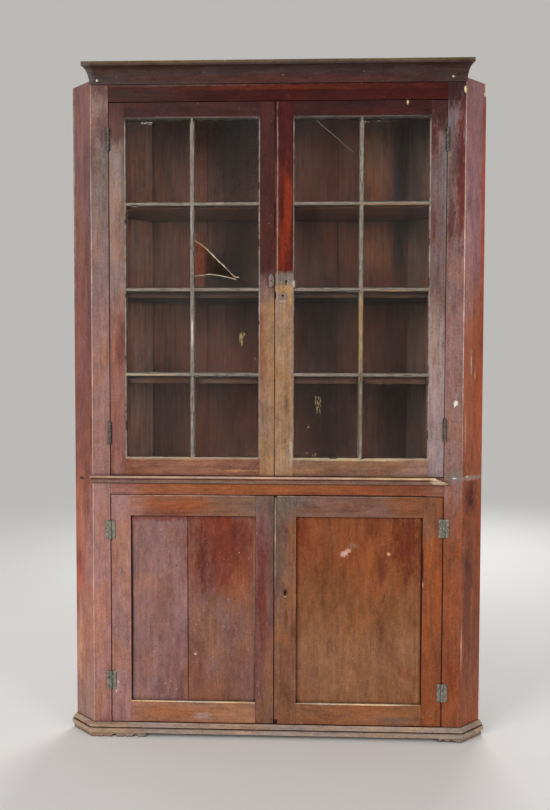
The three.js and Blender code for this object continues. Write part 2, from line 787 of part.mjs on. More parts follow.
// Lower doors: stiles and rails grooved for a panel that is flat in front and feathered behind.
function makeLowerDoor(side) {
  const door = doors[side];
  const { hand } = door;
  const { hingeX, meetingX } = doorEdges(door);
  const hingeFace = hingeX - hand * lowerHingeStile;
  const meetingFace = meetingX + hand * door.lowerMeeting;
  const x0 = Math.min(hingeFace, meetingFace);
  const x1 = Math.max(hingeFace, meetingFace);
  const z0 = lowerDoorBottom + lowerBottomRail;
  const z1 = lowerDoorTop - lowerTopRail;
  const tenonY = panelRecess;
  const groove = box(x0 - grooveDepth, x1 + grooveDepth, panelRecess, panelRecess + grooveWidth,
    z0 - grooveDepth, z1 + grooveDepth);
  const holes = [x0, x1].flatMap((x, i) => {
    const direction = i === 0 ? -1 : 1;
    return [
      tenon(x, direction, tenonY, lowerDoorBottom, z0, tenonLength, seat),
      tenon(x, direction, tenonY, z1, lowerDoorTop, tenonLength, seat),
    ];
  });
  const stileBodies = {
    hinge_stile: box(hingeX, hingeFace, 0, frameThickness, lowerDoorBottom, lowerDoorTop),
    meeting_stile: box(meetingX, meetingFace, 0, frameThickness, lowerDoorBottom, lowerDoorTop),
  };
  Object.entries(stileBodies).forEach(([name, body]) => {
    const lock = side === "right" && name === "meeting_stile" ? lockRecess(meetingX, lowerKeyHeight) : [];
    addPiece(`lower_${side}_${name}`, cut(body, [groove, ...holes, ...lock]), pine);
  });
  const rails = { top_rail: [z1, lowerDoorTop], bottom_rail: [lowerDoorBottom, z0] };
  Object.entries(rails).forEach(([name, [low, high]]) => {
    const body = box(x0 + seat, x1 - seat, 0, frameThickness, low, high).subtract(groove);
    const tongues = [
      tenon(x0 + seat, -1, tenonY, low, high, tenonLength, 0),
      tenon(x1 - seat, 1, tenonY, low, high, tenonLength, 0),
    ];
    addPiece(`lower_${side}_${name}`, joined([body, ...tongues]), pine);
  });
  makePanel(side, x0, x1, z0, z1);
}

function makePanel(side, x0, x1, z0, z1) {
  const entry = grooveDepth - panelPlay;
  const front = panelRecess + seat;
  const tongueBack = panelRecess + grooveWidth - seat;
  const ring = (grow, y) => [
    [x0 - grow, y, z0 - grow],
    [x1 + grow, y, z0 - grow],
    [x1 + grow, y, z1 + grow],
    [x0 - grow, y, z1 + grow],
  ];
  const body = lofted([
    ring(entry, front),
    ring(entry, tongueBack),
    ring(-panelPlay, tongueBack),
    ring(-panelFeather, tongueBack + panelSwell),
  ]);
  if (side === "right") {
    addPiece(`lower_${side}_panel`, body, pine);
    return;
  }
  const x = x0 + panelJointShare * (x1 - x0);
  const line = raised(jointLine(x, front, 1), z0 - 2 * grooveDepth, z1 + 2 * grooveDepth);
  addPiece(`lower_${side}_panel`, body.subtract(line), pine);
}

// Locks: an iron case let into the back of the stile. The upper one's bolt slides to the left door.
function keyhole(x, z, y0, y1) {
  const eye = new THREE.CylinderGeometry(keyRadius, keyRadius, y1 - y0, knuckleSides);
  const slot = box(x - keySlotWidth / 2, x + keySlotWidth / 2, y0, y1, z - keySlotLength, z);
  return joined([solid(eye.translate(x, (y0 + y1) / 2, z)), slot]);
}

function lockRecess(meetingX, z) {
  const deep = frameThickness - lockThickness - seat;
  return [
    box(meetingX - overrun, meetingX + lockWidth + seat, deep, frameThickness + overrun,
      z - lockHeight / 2 - seat, z + lockHeight / 2 + seat),
    keyhole(meetingX + keyInset, z, -overrun, deep + overrun),
  ];
}

function lockBody(meetingX, z) {
  const y0 = frameThickness - lockThickness;
  const half = lockHeight / 2;
  const body = box(meetingX, meetingX + lockWidth, y0, frameThickness, z - half, z + half);
  return body.subtract(keyhole(meetingX + keyInset, z, y0 - overrun, frameThickness - lockBackWall));
}

function boltSpan(play) {
  const y = frameThickness - (lockThickness + boltThickness) / 2;
  return { y0: y - play, y1: y + boltThickness + play, half: boltHeight / 2 + play };
}

function makeLocks() {
  const { meetingX } = doorEdges(doors.right);
  const hollow = boltSpan(boltClearance);
  const channel = box(meetingX - overrun, meetingX + boltLength + 2 * boltClearance, hollow.y0, hollow.y1,
    upperKeyHeight - hollow.half, upperKeyHeight + hollow.half);
  addPiece("upper_lock_case", lockBody(meetingX, upperKeyHeight).subtract(channel), agedIron);
  const bolt = boltSpan(0);
  const start = meetingX + boltClearance;
  addPiece("upper_lock_bolt", box(start, start + boltLength, bolt.y0, bolt.y1,
    upperKeyHeight - bolt.half, upperKeyHeight + bolt.half), brass);
  addPiece("lower_lock_case", lockBody(meetingX, lowerKeyHeight), agedIron);
}

function boltMortise(meetingX) {
  const hollow = boltSpan(2 * boltClearance);
  return box(meetingX - mortiseDepth, meetingX + overrun, hollow.y0, hollow.y1,
    upperKeyHeight - hollow.half, upperKeyHeight + hollow.half);
}

// An oval button, domed in front, that turns on a screw to hold both glazed doors.
function makeTurnButton() {
  const { meetingX } = doorEdges(doors.left);
  const x = meetingX - buttonInset;
  const ring = (share, y) => Array.from({ length: buttonSides }, (_, i) => {
    const angle = 2 * Math.PI * i / buttonSides;
    const across = share * buttonWidth / 2 * Math.cos(angle);
    const up = share * buttonLength / 2 * Math.sin(angle);
    return [x + across, y, upperKeyHeight + up];
  });
  const face = -seat - buttonThickness;
  const crownShares = [[1, 0], [0.92, 0.55], [0.7, 0.9], [0.35, 1]];
  const crown = crownShares.map(([share, rise]) => ring(share, face + buttonDome * (1 - rise)));
  addPiece("turn_button", lofted([ring(1, -seat), ...crown]), darkPine);
}

// Hinges. One leaf carries the pin and the odd knuckles, the other carries the even ones.
function knuckleSpan(z, length, i) {
  const step = length / knuckles;
  return [z - length / 2 + i * step + knuckleGap / 2, z - length / 2 + (i + 1) * step - knuckleGap / 2];
}

function makeHinge(name, hand, z, form) {
  const axisX = hand * (halfOpening - hingeSideGap / 2);
  const axisY = -form.barrel - seat;
  const { length, barrel } = form;
  const pin = upright(pinRadius, axisX, axisY, z - length / 2, z + length / 2, pinSides);
  const bore = upright(pinRadius + pinClearance, axisX, axisY, z - length, z + length, pinSides);
  ["case", "door"].forEach((leaf, which) => {
    const parts = [form.plate(hand, leaf, z)];
    for (let i = 0; i < knuckles; i += 1) {
      if (i % 2 === which) {
        const [low, high] = knuckleSpan(z, length, i);
        const ring = upright(barrel, axisX, axisY, low, high, knuckleSides);
        parts.push(ring.add(form.strap(hand, leaf, low, high)));
      }
    }
    const body = joined(parts);
    addPiece(`${name}_${leaf}_leaf`, which === 0 ? body.add(pin) : body.subtract(bore), agedIron);
  });
}

// The x range of a leaf that stands in the gap beside the door, on either side of it.
function edgeLeafRange(hand, leaf) {
  const inCase = leaf === "case";
  const near = inCase ? halfOpening + seat / 2 : halfOpening - hingeSideGap - seat / 2;
  const far = near + (inCase ? hingeLeaf : -hingeLeaf);
  return [hand * near, hand * far];
}

const upperForm = {
  length: upperHingeLength,
  barrel: upperBarrel,
  plate(hand, leaf, z) {
    const [a, b] = edgeLeafRange(hand, leaf);
    return box(a, b, 0, upperLeafWidth, z - upperHingeLength / 2, z + upperHingeLength / 2);
  },
  strap(hand, leaf, low, high) {
    const [a, b] = edgeLeafRange(hand, leaf);
    return box(a, b, -upperBarrel - seat, upperLeafWidth / 2, low, high);
  },
};

// The x range of a leaf that lies on the face, clear of the other leaf's knuckles.
function faceLeafRange(hand, leaf, start) {
  const away = leaf === "case" ? 1 : -1;
  const axisX = halfOpening - hingeSideGap / 2;
  return [hand * (axisX + away * start), hand * (axisX + away * lowerLeafWidth)];
}

const lowerForm = {
  length: lowerHingeLength,
  barrel: lowerBarrel,
  plate(hand, leaf, z) {
    const [a, b] = faceLeafRange(hand, leaf, lowerBarrel + seat);
    return box(a, b, -seat - hingeLeaf, -seat, z - lowerHingeLength / 2, z + lowerHingeLength / 2);
  },
  strap(hand, leaf, low, high) {
    const [a, b] = faceLeafRange(hand, leaf, pinRadius);
    return box(a, b, -seat - hingeLeaf, -seat, low, high);
  },
};

function makeHinges(side) {
  const { hand } = doors[side];
  const places = ["top", "bottom"];
  const forms = { upper: upperForm, lower: lowerForm };
  Object.entries(forms).forEach(([level, form]) => {
    hingeCentres(level, side).forEach((z, i) => {
      makeHinge(`${level}_${side}_${places[i]}_hinge`, hand, z, form);
    });
  });
}

makeFrontStile(-1, "left");
makeFrontStile(1, "right");
makeRail("frieze_rail", friezeBottom, caseTop);
makeRail("waist_rail", waistRailBottom, waistMouldingTop);
makeReturn(-1, "left");
makeReturn(1, "right");
makeSideBoard(-1, "left");
makeSideBoard(1, "right");
makeRearBoards();
makeShelves();
makeCornice();
makeWaistMoulding();
makeBaseMoulding();
Object.keys(doors).forEach((side) => {
  makeUpperDoor(side);
  makeLowerDoor(side);
  makeHinges(side);
});
makeLocks();
makeTurnButton();

// The origin is on the floor, in the middle of the plan.
cupboard.position.set(0, -centreDepth, 0);

export default cupboard;
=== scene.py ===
import math
import random

import bmesh
import bpy
from mathutils import Matrix, Vector, noise


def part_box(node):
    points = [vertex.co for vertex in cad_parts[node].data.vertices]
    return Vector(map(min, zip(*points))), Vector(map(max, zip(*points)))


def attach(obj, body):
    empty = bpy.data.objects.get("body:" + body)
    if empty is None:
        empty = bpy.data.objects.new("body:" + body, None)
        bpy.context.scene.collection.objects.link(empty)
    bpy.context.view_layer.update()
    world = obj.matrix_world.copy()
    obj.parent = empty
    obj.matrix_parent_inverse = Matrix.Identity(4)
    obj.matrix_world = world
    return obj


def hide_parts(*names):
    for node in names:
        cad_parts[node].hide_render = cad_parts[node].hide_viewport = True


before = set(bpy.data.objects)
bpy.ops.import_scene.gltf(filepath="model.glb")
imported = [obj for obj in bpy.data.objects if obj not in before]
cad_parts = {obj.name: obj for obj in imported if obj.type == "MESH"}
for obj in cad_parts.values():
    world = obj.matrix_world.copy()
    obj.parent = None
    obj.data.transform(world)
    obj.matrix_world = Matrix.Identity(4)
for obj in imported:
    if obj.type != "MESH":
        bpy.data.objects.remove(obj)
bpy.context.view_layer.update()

# A stained softwood corner cupboard: its finishes, its panes, putty, screws and nails.
# Lengths in the tables are in millimetres, heights from the floor, widths from the middle of the front.
MM = 0.001
front_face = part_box("front_stile_left")[0].y
glass_front, glass_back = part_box("upper_left_glass")[0].y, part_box("upper_left_glass")[1].y


# ---------------------------------------------------------------- camera, floor and light, in metres
background = (0.50, 0.49, 0.475, 1)
camera_place = (0.1068, -2.8760, 1.1677)
camera_turn = (2.287, -2.634, 0.135)  # yaw, pitch and roll, in degrees
film_height, focal_length = 36, 40
lamp_aim = (0, 0, 1.0)
lamps = (  # name, place, side of the square, power
    ("key_light", (-3.4, -4.2, 2.7), 2.6, 172),
    ("fill_light", (3.4, -3.9, 1.9), 2.4, 72),
    ("back_light", (1.2, 4.6, 3.0), 3.0, 150))
sky_colour, sky_strength = (0.93, 0.96, 1.0, 1), 0.40
floor_radius = 24
haze_start, haze_end = 1.7, 5.5  # between these distances the floor runs into the background


def put(name, data):
    """Links a new object with the given data to the scene."""
    thing = bpy.data.objects.new(name, data)
    bpy.context.scene.collection.objects.link(thing)
    return thing


def add_camera():
    """The camera at the photograph's viewing angle."""
    yaw, pitch, roll = (math.radians(angle) for angle in camera_turn)
    ahead = Vector((-math.sin(yaw) * math.cos(pitch), math.cos(yaw) * math.cos(pitch), math.sin(pitch)))
    side = Vector((math.cos(yaw), math.sin(yaw), 0))
    top = side.cross(ahead)
    right = side * math.cos(roll) + top * math.sin(roll)
    up = -side * math.sin(roll) + top * math.cos(roll)
    lens = bpy.data.cameras.new("camera")
    lens.sensor_fit, lens.sensor_height, lens.lens = "VERTICAL", film_height, focal_length
    camera = put("camera", lens)
    camera.matrix_world = Matrix.Translation(camera_place) @ Matrix((right, up, -ahead)).transposed().to_4x4()
    bpy.context.scene.camera = camera


def studio():
    """Camera, plain soft lamps, a pale world and a pale floor."""
    scene = bpy.context.scene
    scene.view_settings.view_transform = "Standard"
    add_camera()
    for name, place, size, power in lamps:
        lamp = bpy.data.lights.new(name, "AREA")
        lamp.shape, lamp.size, lamp.energy = "SQUARE", size, power
        body = put(name, lamp)
        body.location = place
        body.rotation_euler = (Vector(lamp_aim) - Vector(place)).to_track_quat("-Z", "Y").to_euler()

    world = bpy.data.worlds.new("studio")
    scene.world = world
    world.use_nodes = True
    g = Graph(world.node_tree)
    light = g.add("ShaderNodeBackground", {0: sky_colour, 1: sky_strength})
    shown = g.add("ShaderNodeBackground", {0: background, 1: 1.0})
    both = g.add("ShaderNodeMixShader", {0: any_view(g), 1: light.outputs[0], 2: shown.outputs[0]})
    g.add("ShaderNodeOutputWorld", {0: both.outputs[0]})

    disc = bmesh.new()
    bmesh.ops.create_circle(disc, cap_ends=True, radius=floor_radius, segments=64)
    data = bpy.data.meshes.new("studio_floor")
    disc.to_mesh(data)
    disc.free()
    data.materials.append(floor_paint())
    floor = put("studio_floor", data)


# ---------------------------------------------------------------- materials
def tone(code):
    """A colour written as six hexadecimal digits, as the linear values that a shader takes."""
    parts = [int(code[i:i + 2], 16) / 255 for i in (0, 2, 4)]
    return [((part + 0.055) / 1.055) ** 2.4 if part > 0.04045 else part / 12.92 for part in parts] + [1]


class Graph:
    """Adds nodes to a tree: each input is a plain value or another node's output."""

    def __init__(self, tree):
        self.tree = tree
        tree.nodes.clear()

    def add(self, kind, inputs=None, **settings):
        node = self.tree.nodes.new(kind)
        for key, value in settings.items():
            setattr(node, key, value)
        for key, value in (inputs or {}).items():
            if isinstance(value, bpy.types.NodeSocket):
                self.tree.links.new(value, node.inputs[key])
            else:
                node.inputs[key].default_value = value
        return node

    def take(self, kind, inputs=None, out=0, **settings):
        return self.add(kind, inputs, **settings).outputs[out]

    def group(self, tree, inputs):
        return self.add("ShaderNodeGroup", inputs, node_tree=tree).outputs

    def math(self, operation, a, b):
        return self.take("ShaderNodeMath", {0: a, 1: b}, operation=operation)

    def times(self, a, b):
        return self.math("MULTIPLY", a, b)

    def plus(self, a, b):
        return self.math("ADD", a, b)

    def minus(self, a, b):
        return self.math("SUBTRACT", a, b)

    def vector(self, operation, a, b=(0, 0, 0), out=0):
        return self.take("ShaderNodeVectorMath", {0: a, 1: b}, operation=operation, out=out)

    def part(self, vector, axis):
        return self.take("ShaderNodeSeparateXYZ", {0: vector}, out=axis)

    def span(self, value, low, high, to_low=0.0, to_high=1.0, kind="SMOOTHSTEP"):
        return self.take("ShaderNodeMapRange", {0: value, 1: low, 2: high, 3: to_low, 4: to_high},
                         interpolation_type=kind)

    def noise(self, vector, scale, detail, roughness, distortion=0.0):
        return self.take("ShaderNodeTexNoise", {
            "Vector": vector, "Scale": scale, "Detail": detail,
            "Roughness": roughness, "Distortion": distortion})

    def mix(self, factor, a, b, blend="MIX"):
        return self.take("ShaderNodeMix", {0: factor, 6: a, 7: b}, data_type="RGBA", blend_type=blend, out=2)

    def bump(self, height, strength, distance):
        return self.take("ShaderNodeBump", {"Height": height, "Strength": strength, "Distance": distance})


def node_group(name, inputs, outputs, kind="Shader"):
    """A new group of nodes: its tree, its graph, and what goes in and out."""
    tree = bpy.data.node_groups.new(name, kind + "NodeTree")
    for side, sockets in (("INPUT", inputs), ("OUTPUT", outputs)):
        for label, value in sockets:
            tree.interface.new_socket(label, in_out=side, socket_type="NodeSocket" + value)
    graph = Graph(tree)
    return tree, graph, graph.add("NodeGroupInput").outputs, graph.add("NodeGroupOutput").inputs


def make_patch():
    """A soft-edged oval on the front, 1 inside and 0 outside. Rim is the noise that makes its edge ragged."""
    tree, g, into, out = node_group(
        "patch", (
            ("Vector", "Vector"), ("Rim", "Float"), ("Centre", "Vector"), ("Reach", "Vector"),
            ("Softness", "Float"), ("Ragged", "Float"), ("Strength", "Float")),
        (("Factor", "Float"),))
    near = g.vector("DIVIDE", g.vector("SUBTRACT", into["Vector"], into["Centre"]), into["Reach"])
    distance = g.vector("LENGTH", near, out=1)
    moved = g.plus(distance, g.times(into["Rim"], into["Ragged"]))
    factor = g.span(moved, g.minus(1.0, into["Softness"]), g.plus(1.0, into["Softness"]), 1.0, 0.0)
    tree.links.new(g.times(factor, into["Strength"]), out["Factor"])
    return tree


# The large fields of an old stain: scale, roughness, where each begins and is full, the input that rules it
# and its tint.
stain_fields = (
    (6.5, 0.70, 0.44, 0.62, "Film", (0.94, 1.01, 1.13, 1)),
    (11.0, 0.66, 0.44, 0.62, "Worn", (1.24, 1.04, 0.70, 1)),
    (8.0, 0.74, 0.52, 0.66, "Deep", (0.72, 0.46, 0.42, 1)),
    (23.0, 0.70, 0.50, 0.66, "Film", (0.86, 0.84, 0.86, 1)))
darkest, lightest = 0.35, 1.8  # how far streaks and mottle may shade a stain
pit_scale, pit_stretch, pit_tone = 38.0, (1, 1, 0.6), "1e120d"


def make_grain():
    """Old stained softwood. Film, worn and deep are where the stain has clouded, worn thin or pooled. Grain
    gives the direction of the streaks, and Cloud how far the clouds are drawn out along it."""
    tree, g, into, out = node_group(
        "stained_softwood", (
            ("Vector", "Vector"), ("Grain", "Vector"), ("Cloud", "Vector"), ("Shift", "Vector"),
            ("Base", "Color"), ("Speck", "Color"), ("Film", "Float"), ("Worn", "Float"), ("Deep", "Float"),
            ("Streak", "Float"), ("Mottle", "Float"), ("Specks", "Float")),
        (("Color", "Color"), ("Height", "Float"), ("Wear", "Float")))
    placed = g.vector("ADD", into["Vector"], into["Shift"])
    along = g.vector("MULTIPLY", placed, into["Grain"])
    cloud = g.vector("MULTIPLY", placed, into["Cloud"])
    streaks = g.noise(along, scale=1.0, detail=7.0, roughness=0.68, distortion=0.5)
    pores = g.noise(along, scale=3.4, detail=3.0, roughness=0.6)
    mottle = g.noise(cloud, scale=50.0, detail=5.0, roughness=0.66, distortion=0.4)
    broad = g.noise(cloud, scale=13.0, detail=4.0, roughness=0.6, distortion=0.3)
    grit = g.noise(placed, scale=190.0, detail=3.0, roughness=0.7)
    colour = into["Base"]
    for scale, roughness, begins, full, ruled_by, tint in stain_fields:
        apart = g.vector("ADD", cloud, (scale, 2 * scale, 3 * scale))
        field = g.noise(apart, scale, 8.0, roughness, 0.8)
        share = g.times(g.span(field, begins, full), into[ruled_by])
        colour = g.mix(share, colour, g.mix(1.0, colour, tint, "MULTIPLY"))
    level = 1.0
    for value, amount in ((streaks, into["Streak"]), (mottle, into["Mottle"]),
                          (broad, g.times(into["Mottle"], 0.7)), (grit, g.times(into["Mottle"], 0.9))):
        level = g.plus(level, g.times(g.minus(value, 0.5), amount))
    level = g.times(level, g.span(pores, 0.57, 0.70, 1.0, 0.80))
    level = g.take("ShaderNodeClamp", {0: level, 1: darkest, 2: lightest})
    shaded = g.take("ShaderNodeVectorMath", {0: colour, "Scale": level}, operation="SCALE")
    in_mottle = g.times(g.span(mottle, 0.5, 0.66), into["Specks"])
    speck = g.times(g.span(grit, 0.66, 0.74), in_mottle)
    colour = g.mix(speck, shaded, into["Speck"])
    pits = g.take("ShaderNodeTexVoronoi", {
        "Vector": g.vector("MULTIPLY", placed, pit_stretch), "Scale": pit_scale,
        "Randomness": 1.0}, out="Distance")
    pit = g.times(g.span(pits, 0.05, 0.10, 1.0, 0.0), g.span(mottle, 0.52, 0.62))
    colour = g.mix(g.times(pit, 0.75), colour, tone(pit_tone))
    tree.links.new(colour, out["Color"])
    height = g.plus(g.times(streaks, 0.6), g.times(pores, -0.35))
    height = g.plus(height, g.times(mottle, 0.45))
    tree.links.new(g.minus(height, g.times(pit, 0.6)), out["Height"])
    wear = g.plus(g.times(mottle, 0.6), g.times(streaks, 0.4))
    tree.links.new(wear, out["Wear"])
    return tree


def make_rubbed():
    """How far an arris is rubbed, from the difference between the true and the rounded-off surface, and how
    much a corner is darkened, by dirt and by painted shade."""
    tree, g, into, out = node_group(
        "rubbed_dirty_and_shaded",
        (("Vector", "Vector"), ("Radius", "Float"), ("Rubbed", "Float"), ("Dirt and shade strength", "Float")),
        (("Rub", "Float"), ("Grime and shade", "Float")))
    rounded = g.take("ShaderNodeBevel", {"Radius": into["Radius"]}, samples=4)
    true = g.take("ShaderNodeNewGeometry", out="Normal")
    turn = g.minus(1.0, g.vector("DOT_PRODUCT", rounded, true, out=1))
    broken = g.span(g.noise(into["Vector"], scale=34.0, detail=5.0, roughness=0.7), 0.40, 0.62)
    rub = g.times(g.span(turn, 0.015, 0.2), g.times(broken, into["Rubbed"]))
    tree.links.new(rub, out["Rub"])
    # Dirt and painted shade: darker where other surfaces close in, from ambient occlusion.
    open_sky = g.take("ShaderNodeAmbientOcclusion", {"Distance": 0.014}, samples=6, out="AO")
    uneven = g.span(g.noise(into["Vector"], scale=60.0, detail=4.0, roughness=0.6), 0.2, 0.6, 0.55, 1.0)
    corner = g.span(open_sky, 0.35, 0.95, 1.0, 0.0)
    tree.links.new(g.times(corner, g.times(uneven, into["Dirt and shade strength"])), out["Grime and shade"])
    return tree


patch_group, grain_group, rubbed_group = make_patch(), make_grain(), make_rubbed()
# The grain of an upright and of a level board: how its streaks are drawn out, and how its clouds are.
UPRIGHT, LEVEL = ((120, 120, 5.5), (1, 1, 0.34)), ((5.5, 120, 120), (0.34, 1, 1))
any_depth = 9.0  # metres: a patch reaches through the whole cupboard
pooled = 0.6  # how much of the stain has pooled
rub_gain = 1.9  # how much paler rubbed wood is
# How strongly dirt and painted shade darken the corners, and how deep the grain's relief is.
corner_dirt_and_shade, grain_relief = 1.0, 0.5
wood_shine, floor_shine = 0.13, 0.1  # the shader's specular level
# The tint that dirt and painted shade give the corners.
dirt_and_shade_tint = "7a6358"


def new_material(name):
    material = bpy.data.materials.new(name)
    material.use_nodes = True
    return material, Graph(material.node_tree)


def patches(g, place, colour, marks, stretch=(1, 1, 1)):
    """Lays patches of other colours over a finish."""
    if not marks:
        return colour
    drawn = g.vector("MULTIPLY", place, stretch)
    rim = g.plus(g.noise(drawn, scale=24.0, detail=5.0, roughness=0.7),
                 g.noise(drawn, scale=130.0, detail=4.0, roughness=0.7))
    rim = g.times(g.minus(rim, 1.0), 3.2)
    for code, x, z, wide, high, soft, ragged_rim, strength in marks:
        factor = g.group(patch_group, {
            "Vector": place, "Rim": rim, "Centre": (x * MM, 0, z * MM),
            "Reach": (wide * MM, any_depth, high * MM),
            "Softness": soft, "Ragged": ragged_rim, "Strength": strength})[0]
        colour = g.mix(factor, colour, tone(code))
    return colour


def wood(name, grain, base, marks, shift, film=0.85, worn=0.65, streak=1.0, mottle=1.15, specks=0.9,
         speck_tone="c3a79a", rub=0.75, gloss=(0.36, 0.62), back="5c4234"):
    """Stained wood that is rubbed at its arrises and darkened in its corners by dirt and painted shade, with
    patches of its own. Back is the colour of what faces the wall."""
    material, g = new_material(name)
    where = g.add("ShaderNodeTexCoord").outputs
    place = where["Object"]
    rearward = g.span(g.part(where["Normal"], 1), 0.2, 0.6)
    stain = g.mix(rearward, patches(g, place, tone(base), marks, grain[1]), tone(back))
    board = g.group(grain_group, {
        "Vector": place, "Grain": grain[0], "Cloud": grain[1], "Shift": (shift, shift * 0.7, shift * 1.3),
        "Base": stain, "Speck": tone(speck_tone), "Film": film, "Worn": worn,
        "Deep": pooled, "Streak": streak, "Mottle": mottle, "Specks": specks})
    edges = g.group(rubbed_group, {"Vector": place, "Radius": 0.003, "Rubbed": rub, "Dirt and shade strength": corner_dirt_and_shade})
    colour = board["Color"]
    colour = g.mix(edges["Rub"], colour, g.vector("MULTIPLY_ADD", colour, (rub_gain,) * 3))
    # Corners darkened by dirt and painted shade.
    colour = g.mix(edges["Grime and shade"], colour, g.mix(1.0, colour, tone(dirt_and_shade_tint), "MULTIPLY"))
    rough = g.span(board["Wear"], 0.35, 0.65, *gloss, kind="LINEAR")
    shader = g.add("ShaderNodeBsdfPrincipled", {
        "Base Color": colour, "Roughness": rough, "Normal": g.bump(board["Height"], grain_relief, 0.0005)})
    shader.inputs["Specular IOR Level"].default_value = wood_shine
    g.add("ShaderNodeOutputMaterial", {0: shader.outputs[0]})
    return material


def any_view(g):
    """1 for what a camera, a reflection or glass sees, 0 for what lights the object."""
    seen = g.add("ShaderNodeLightPath").outputs
    return g.math("MAXIMUM", g.math("MAXIMUM", seen["Is Camera Ray"], seen["Is Glossy Ray"]),
                  seen["Is Transmission Ray"])


def floor_paint():
    """Pale floor that runs into the background further out."""
    material, g = new_material("pale_floor")
    place = g.take("ShaderNodeTexCoord", out="Object")
    cloud = g.noise(place, scale=1.7, detail=5.0, roughness=0.6)
    shader = g.add("ShaderNodeBsdfPrincipled", {
        "Base Color": g.mix(cloud, tone("e8e4e0"), tone("efece8")), "Roughness": 0.85})
    shader.inputs["Specular IOR Level"].default_value = floor_shine
    far = g.span(g.vector("LENGTH", place, out=1), haze_start, haze_end)
    haze = g.add("ShaderNodeEmission", {0: background, 1: 1.0})
    both = g.add("ShaderNodeMixShader", {
        0: g.times(far, any_view(g)), 1: shader.outputs[0], 2: haze.outputs[0]})
    g.add("ShaderNodeOutputMaterial", {0: both.outputs[0]})
    return material


# Where the old panes are dim, in the form of a board's patches.
dim_glass = [
    ("a9b4b4", -130, 1800, 90, 130, 0.6, 0.4, 0.6), ("b4bab8", -110, 1500, 60, 80, 0.6, 0.4, 0.5),
    ("b8bab6", -90, 1260, 50, 120, 0.6, 0.4, 0.5), ("b8bab6", -100, 990, 60, 120, 0.6, 0.4, 0.5),
    ("a5aeae", 130, 1260, 90, 120, 0.6, 0.4, 0.6), ("a8afaf", 140, 980, 90, 120, 0.6, 0.4, 0.6),
    ("b0b6b4", 370, 990, 60, 120, 0.6, 0.4, 0.6), ("b0b8ba", 400, 1760, 34, 140, 0.6, 0.4, 0.5),
    ("b0b6b4", 90, 1560, 40, 120, 0.6, 0.4, 0.5)]
glass_ior = 1.22
let_through = (0.9, 0.92, 0.9, 1)  # what a pane leaves of a lamp's light
dusty, wiped = 0.9925, 0.9998  # share of light that passes dusty and clean glass


def old_glass():
    """Thin hand-made window glass with a film of dust. Lamps reach through it."""
    material, g = new_material("old_window_glass")
    place = g.take("ShaderNodeTexCoord", out="Object")
    wave = g.noise(g.vector("MULTIPLY", place, (9, 9, 4)), scale=1.0, detail=2.0, roughness=0.5)
    smear = g.noise(place, scale=14.0, detail=5.0, roughness=0.6)
    shader = g.add("ShaderNodeBsdfPrincipled", {
        "Base Color": patches(g, place, tone("eef2ee"), dim_glass),
        "Roughness": g.span(smear, 0.3, 0.7, 0.02, 0.09, kind="LINEAR"), "Normal": g.bump(wave, 0.25, 0.004)})
    dust = g.noise(g.vector("MULTIPLY", place, (1, 1, 0.5)), scale=5.0, detail=4.0, roughness=0.6)
    clean = g.span(dust, 0.35, 0.65, wiped, dusty, kind="LINEAR")
    g.tree.links.new(clean, shader.inputs["Transmission Weight"])
    shader.inputs["IOR"].default_value = glass_ior
    clear = g.add("ShaderNodeBsdfTransparent", {0: let_through})
    lamp = g.take("ShaderNodeLightPath", out="Is Shadow Ray")
    both = g.add("ShaderNodeMixShader", {0: lamp, 1: shader.outputs[0], 2: clear.outputs[0]})
    g.add("ShaderNodeOutputMaterial", {0: both.outputs[0]})
    return material


def plain_finish(name, light, dark, scale, rough=(0.5, 0.8), metal=0.0, marks=(), grime=None, bump=0.4,
                 under=None, deep=None):
    """Putty, iron, brass and raw splinters: mottled between two tones, with patches. Under is the painted
    shade of what faces down, deep the colour, of dirt and painted shade, of what lies well behind the front
    face."""
    material, g = new_material(name)
    where = g.add("ShaderNodeTexCoord").outputs
    place = where["Object"]
    broad = g.noise(place, scale, detail=6.0, roughness=0.65)
    fine = g.noise(place, scale * 7, detail=4.0, roughness=0.6)
    level = g.plus(g.times(broad, 0.7), g.times(fine, 0.3))
    colour = g.mix(g.span(level, 0.36, 0.64), tone(dark), tone(light))
    if grime:
        lies = g.noise(place, scale * 0.5, detail=5.0, roughness=0.7)
        colour = g.mix(g.span(lies, 0.52, 0.66), colour, tone(grime))
    # Painted shade: what faces down is darker.
    if under:
        colour = g.mix(g.span(g.part(where["Normal"], 2), -0.5, -0.12, 1.0, 0.0), colour, tone(under))
    colour = patches(g, place, colour, marks)
    # Dirt and painted shade: darker where the putty lies deep in the rebate.
    if deep:
        sunk = g.span(g.part(place, 1), front_face + 2.6 * MM, front_face + 6.0 * MM, 0.0, 0.85)
        colour = g.mix(sunk, colour, tone(deep))
    wear = g.span(fine, 0.35, 0.65, *rough, kind="LINEAR")
    shader = g.add("ShaderNodeBsdfPrincipled", {
        "Base Color": colour, "Roughness": wear, "Normal": g.bump(level, bump, 0.0006)})
    shader.inputs["Metallic"].default_value = metal
    g.add("ShaderNodeOutputMaterial", {0: shader.outputs[0]})
    return material


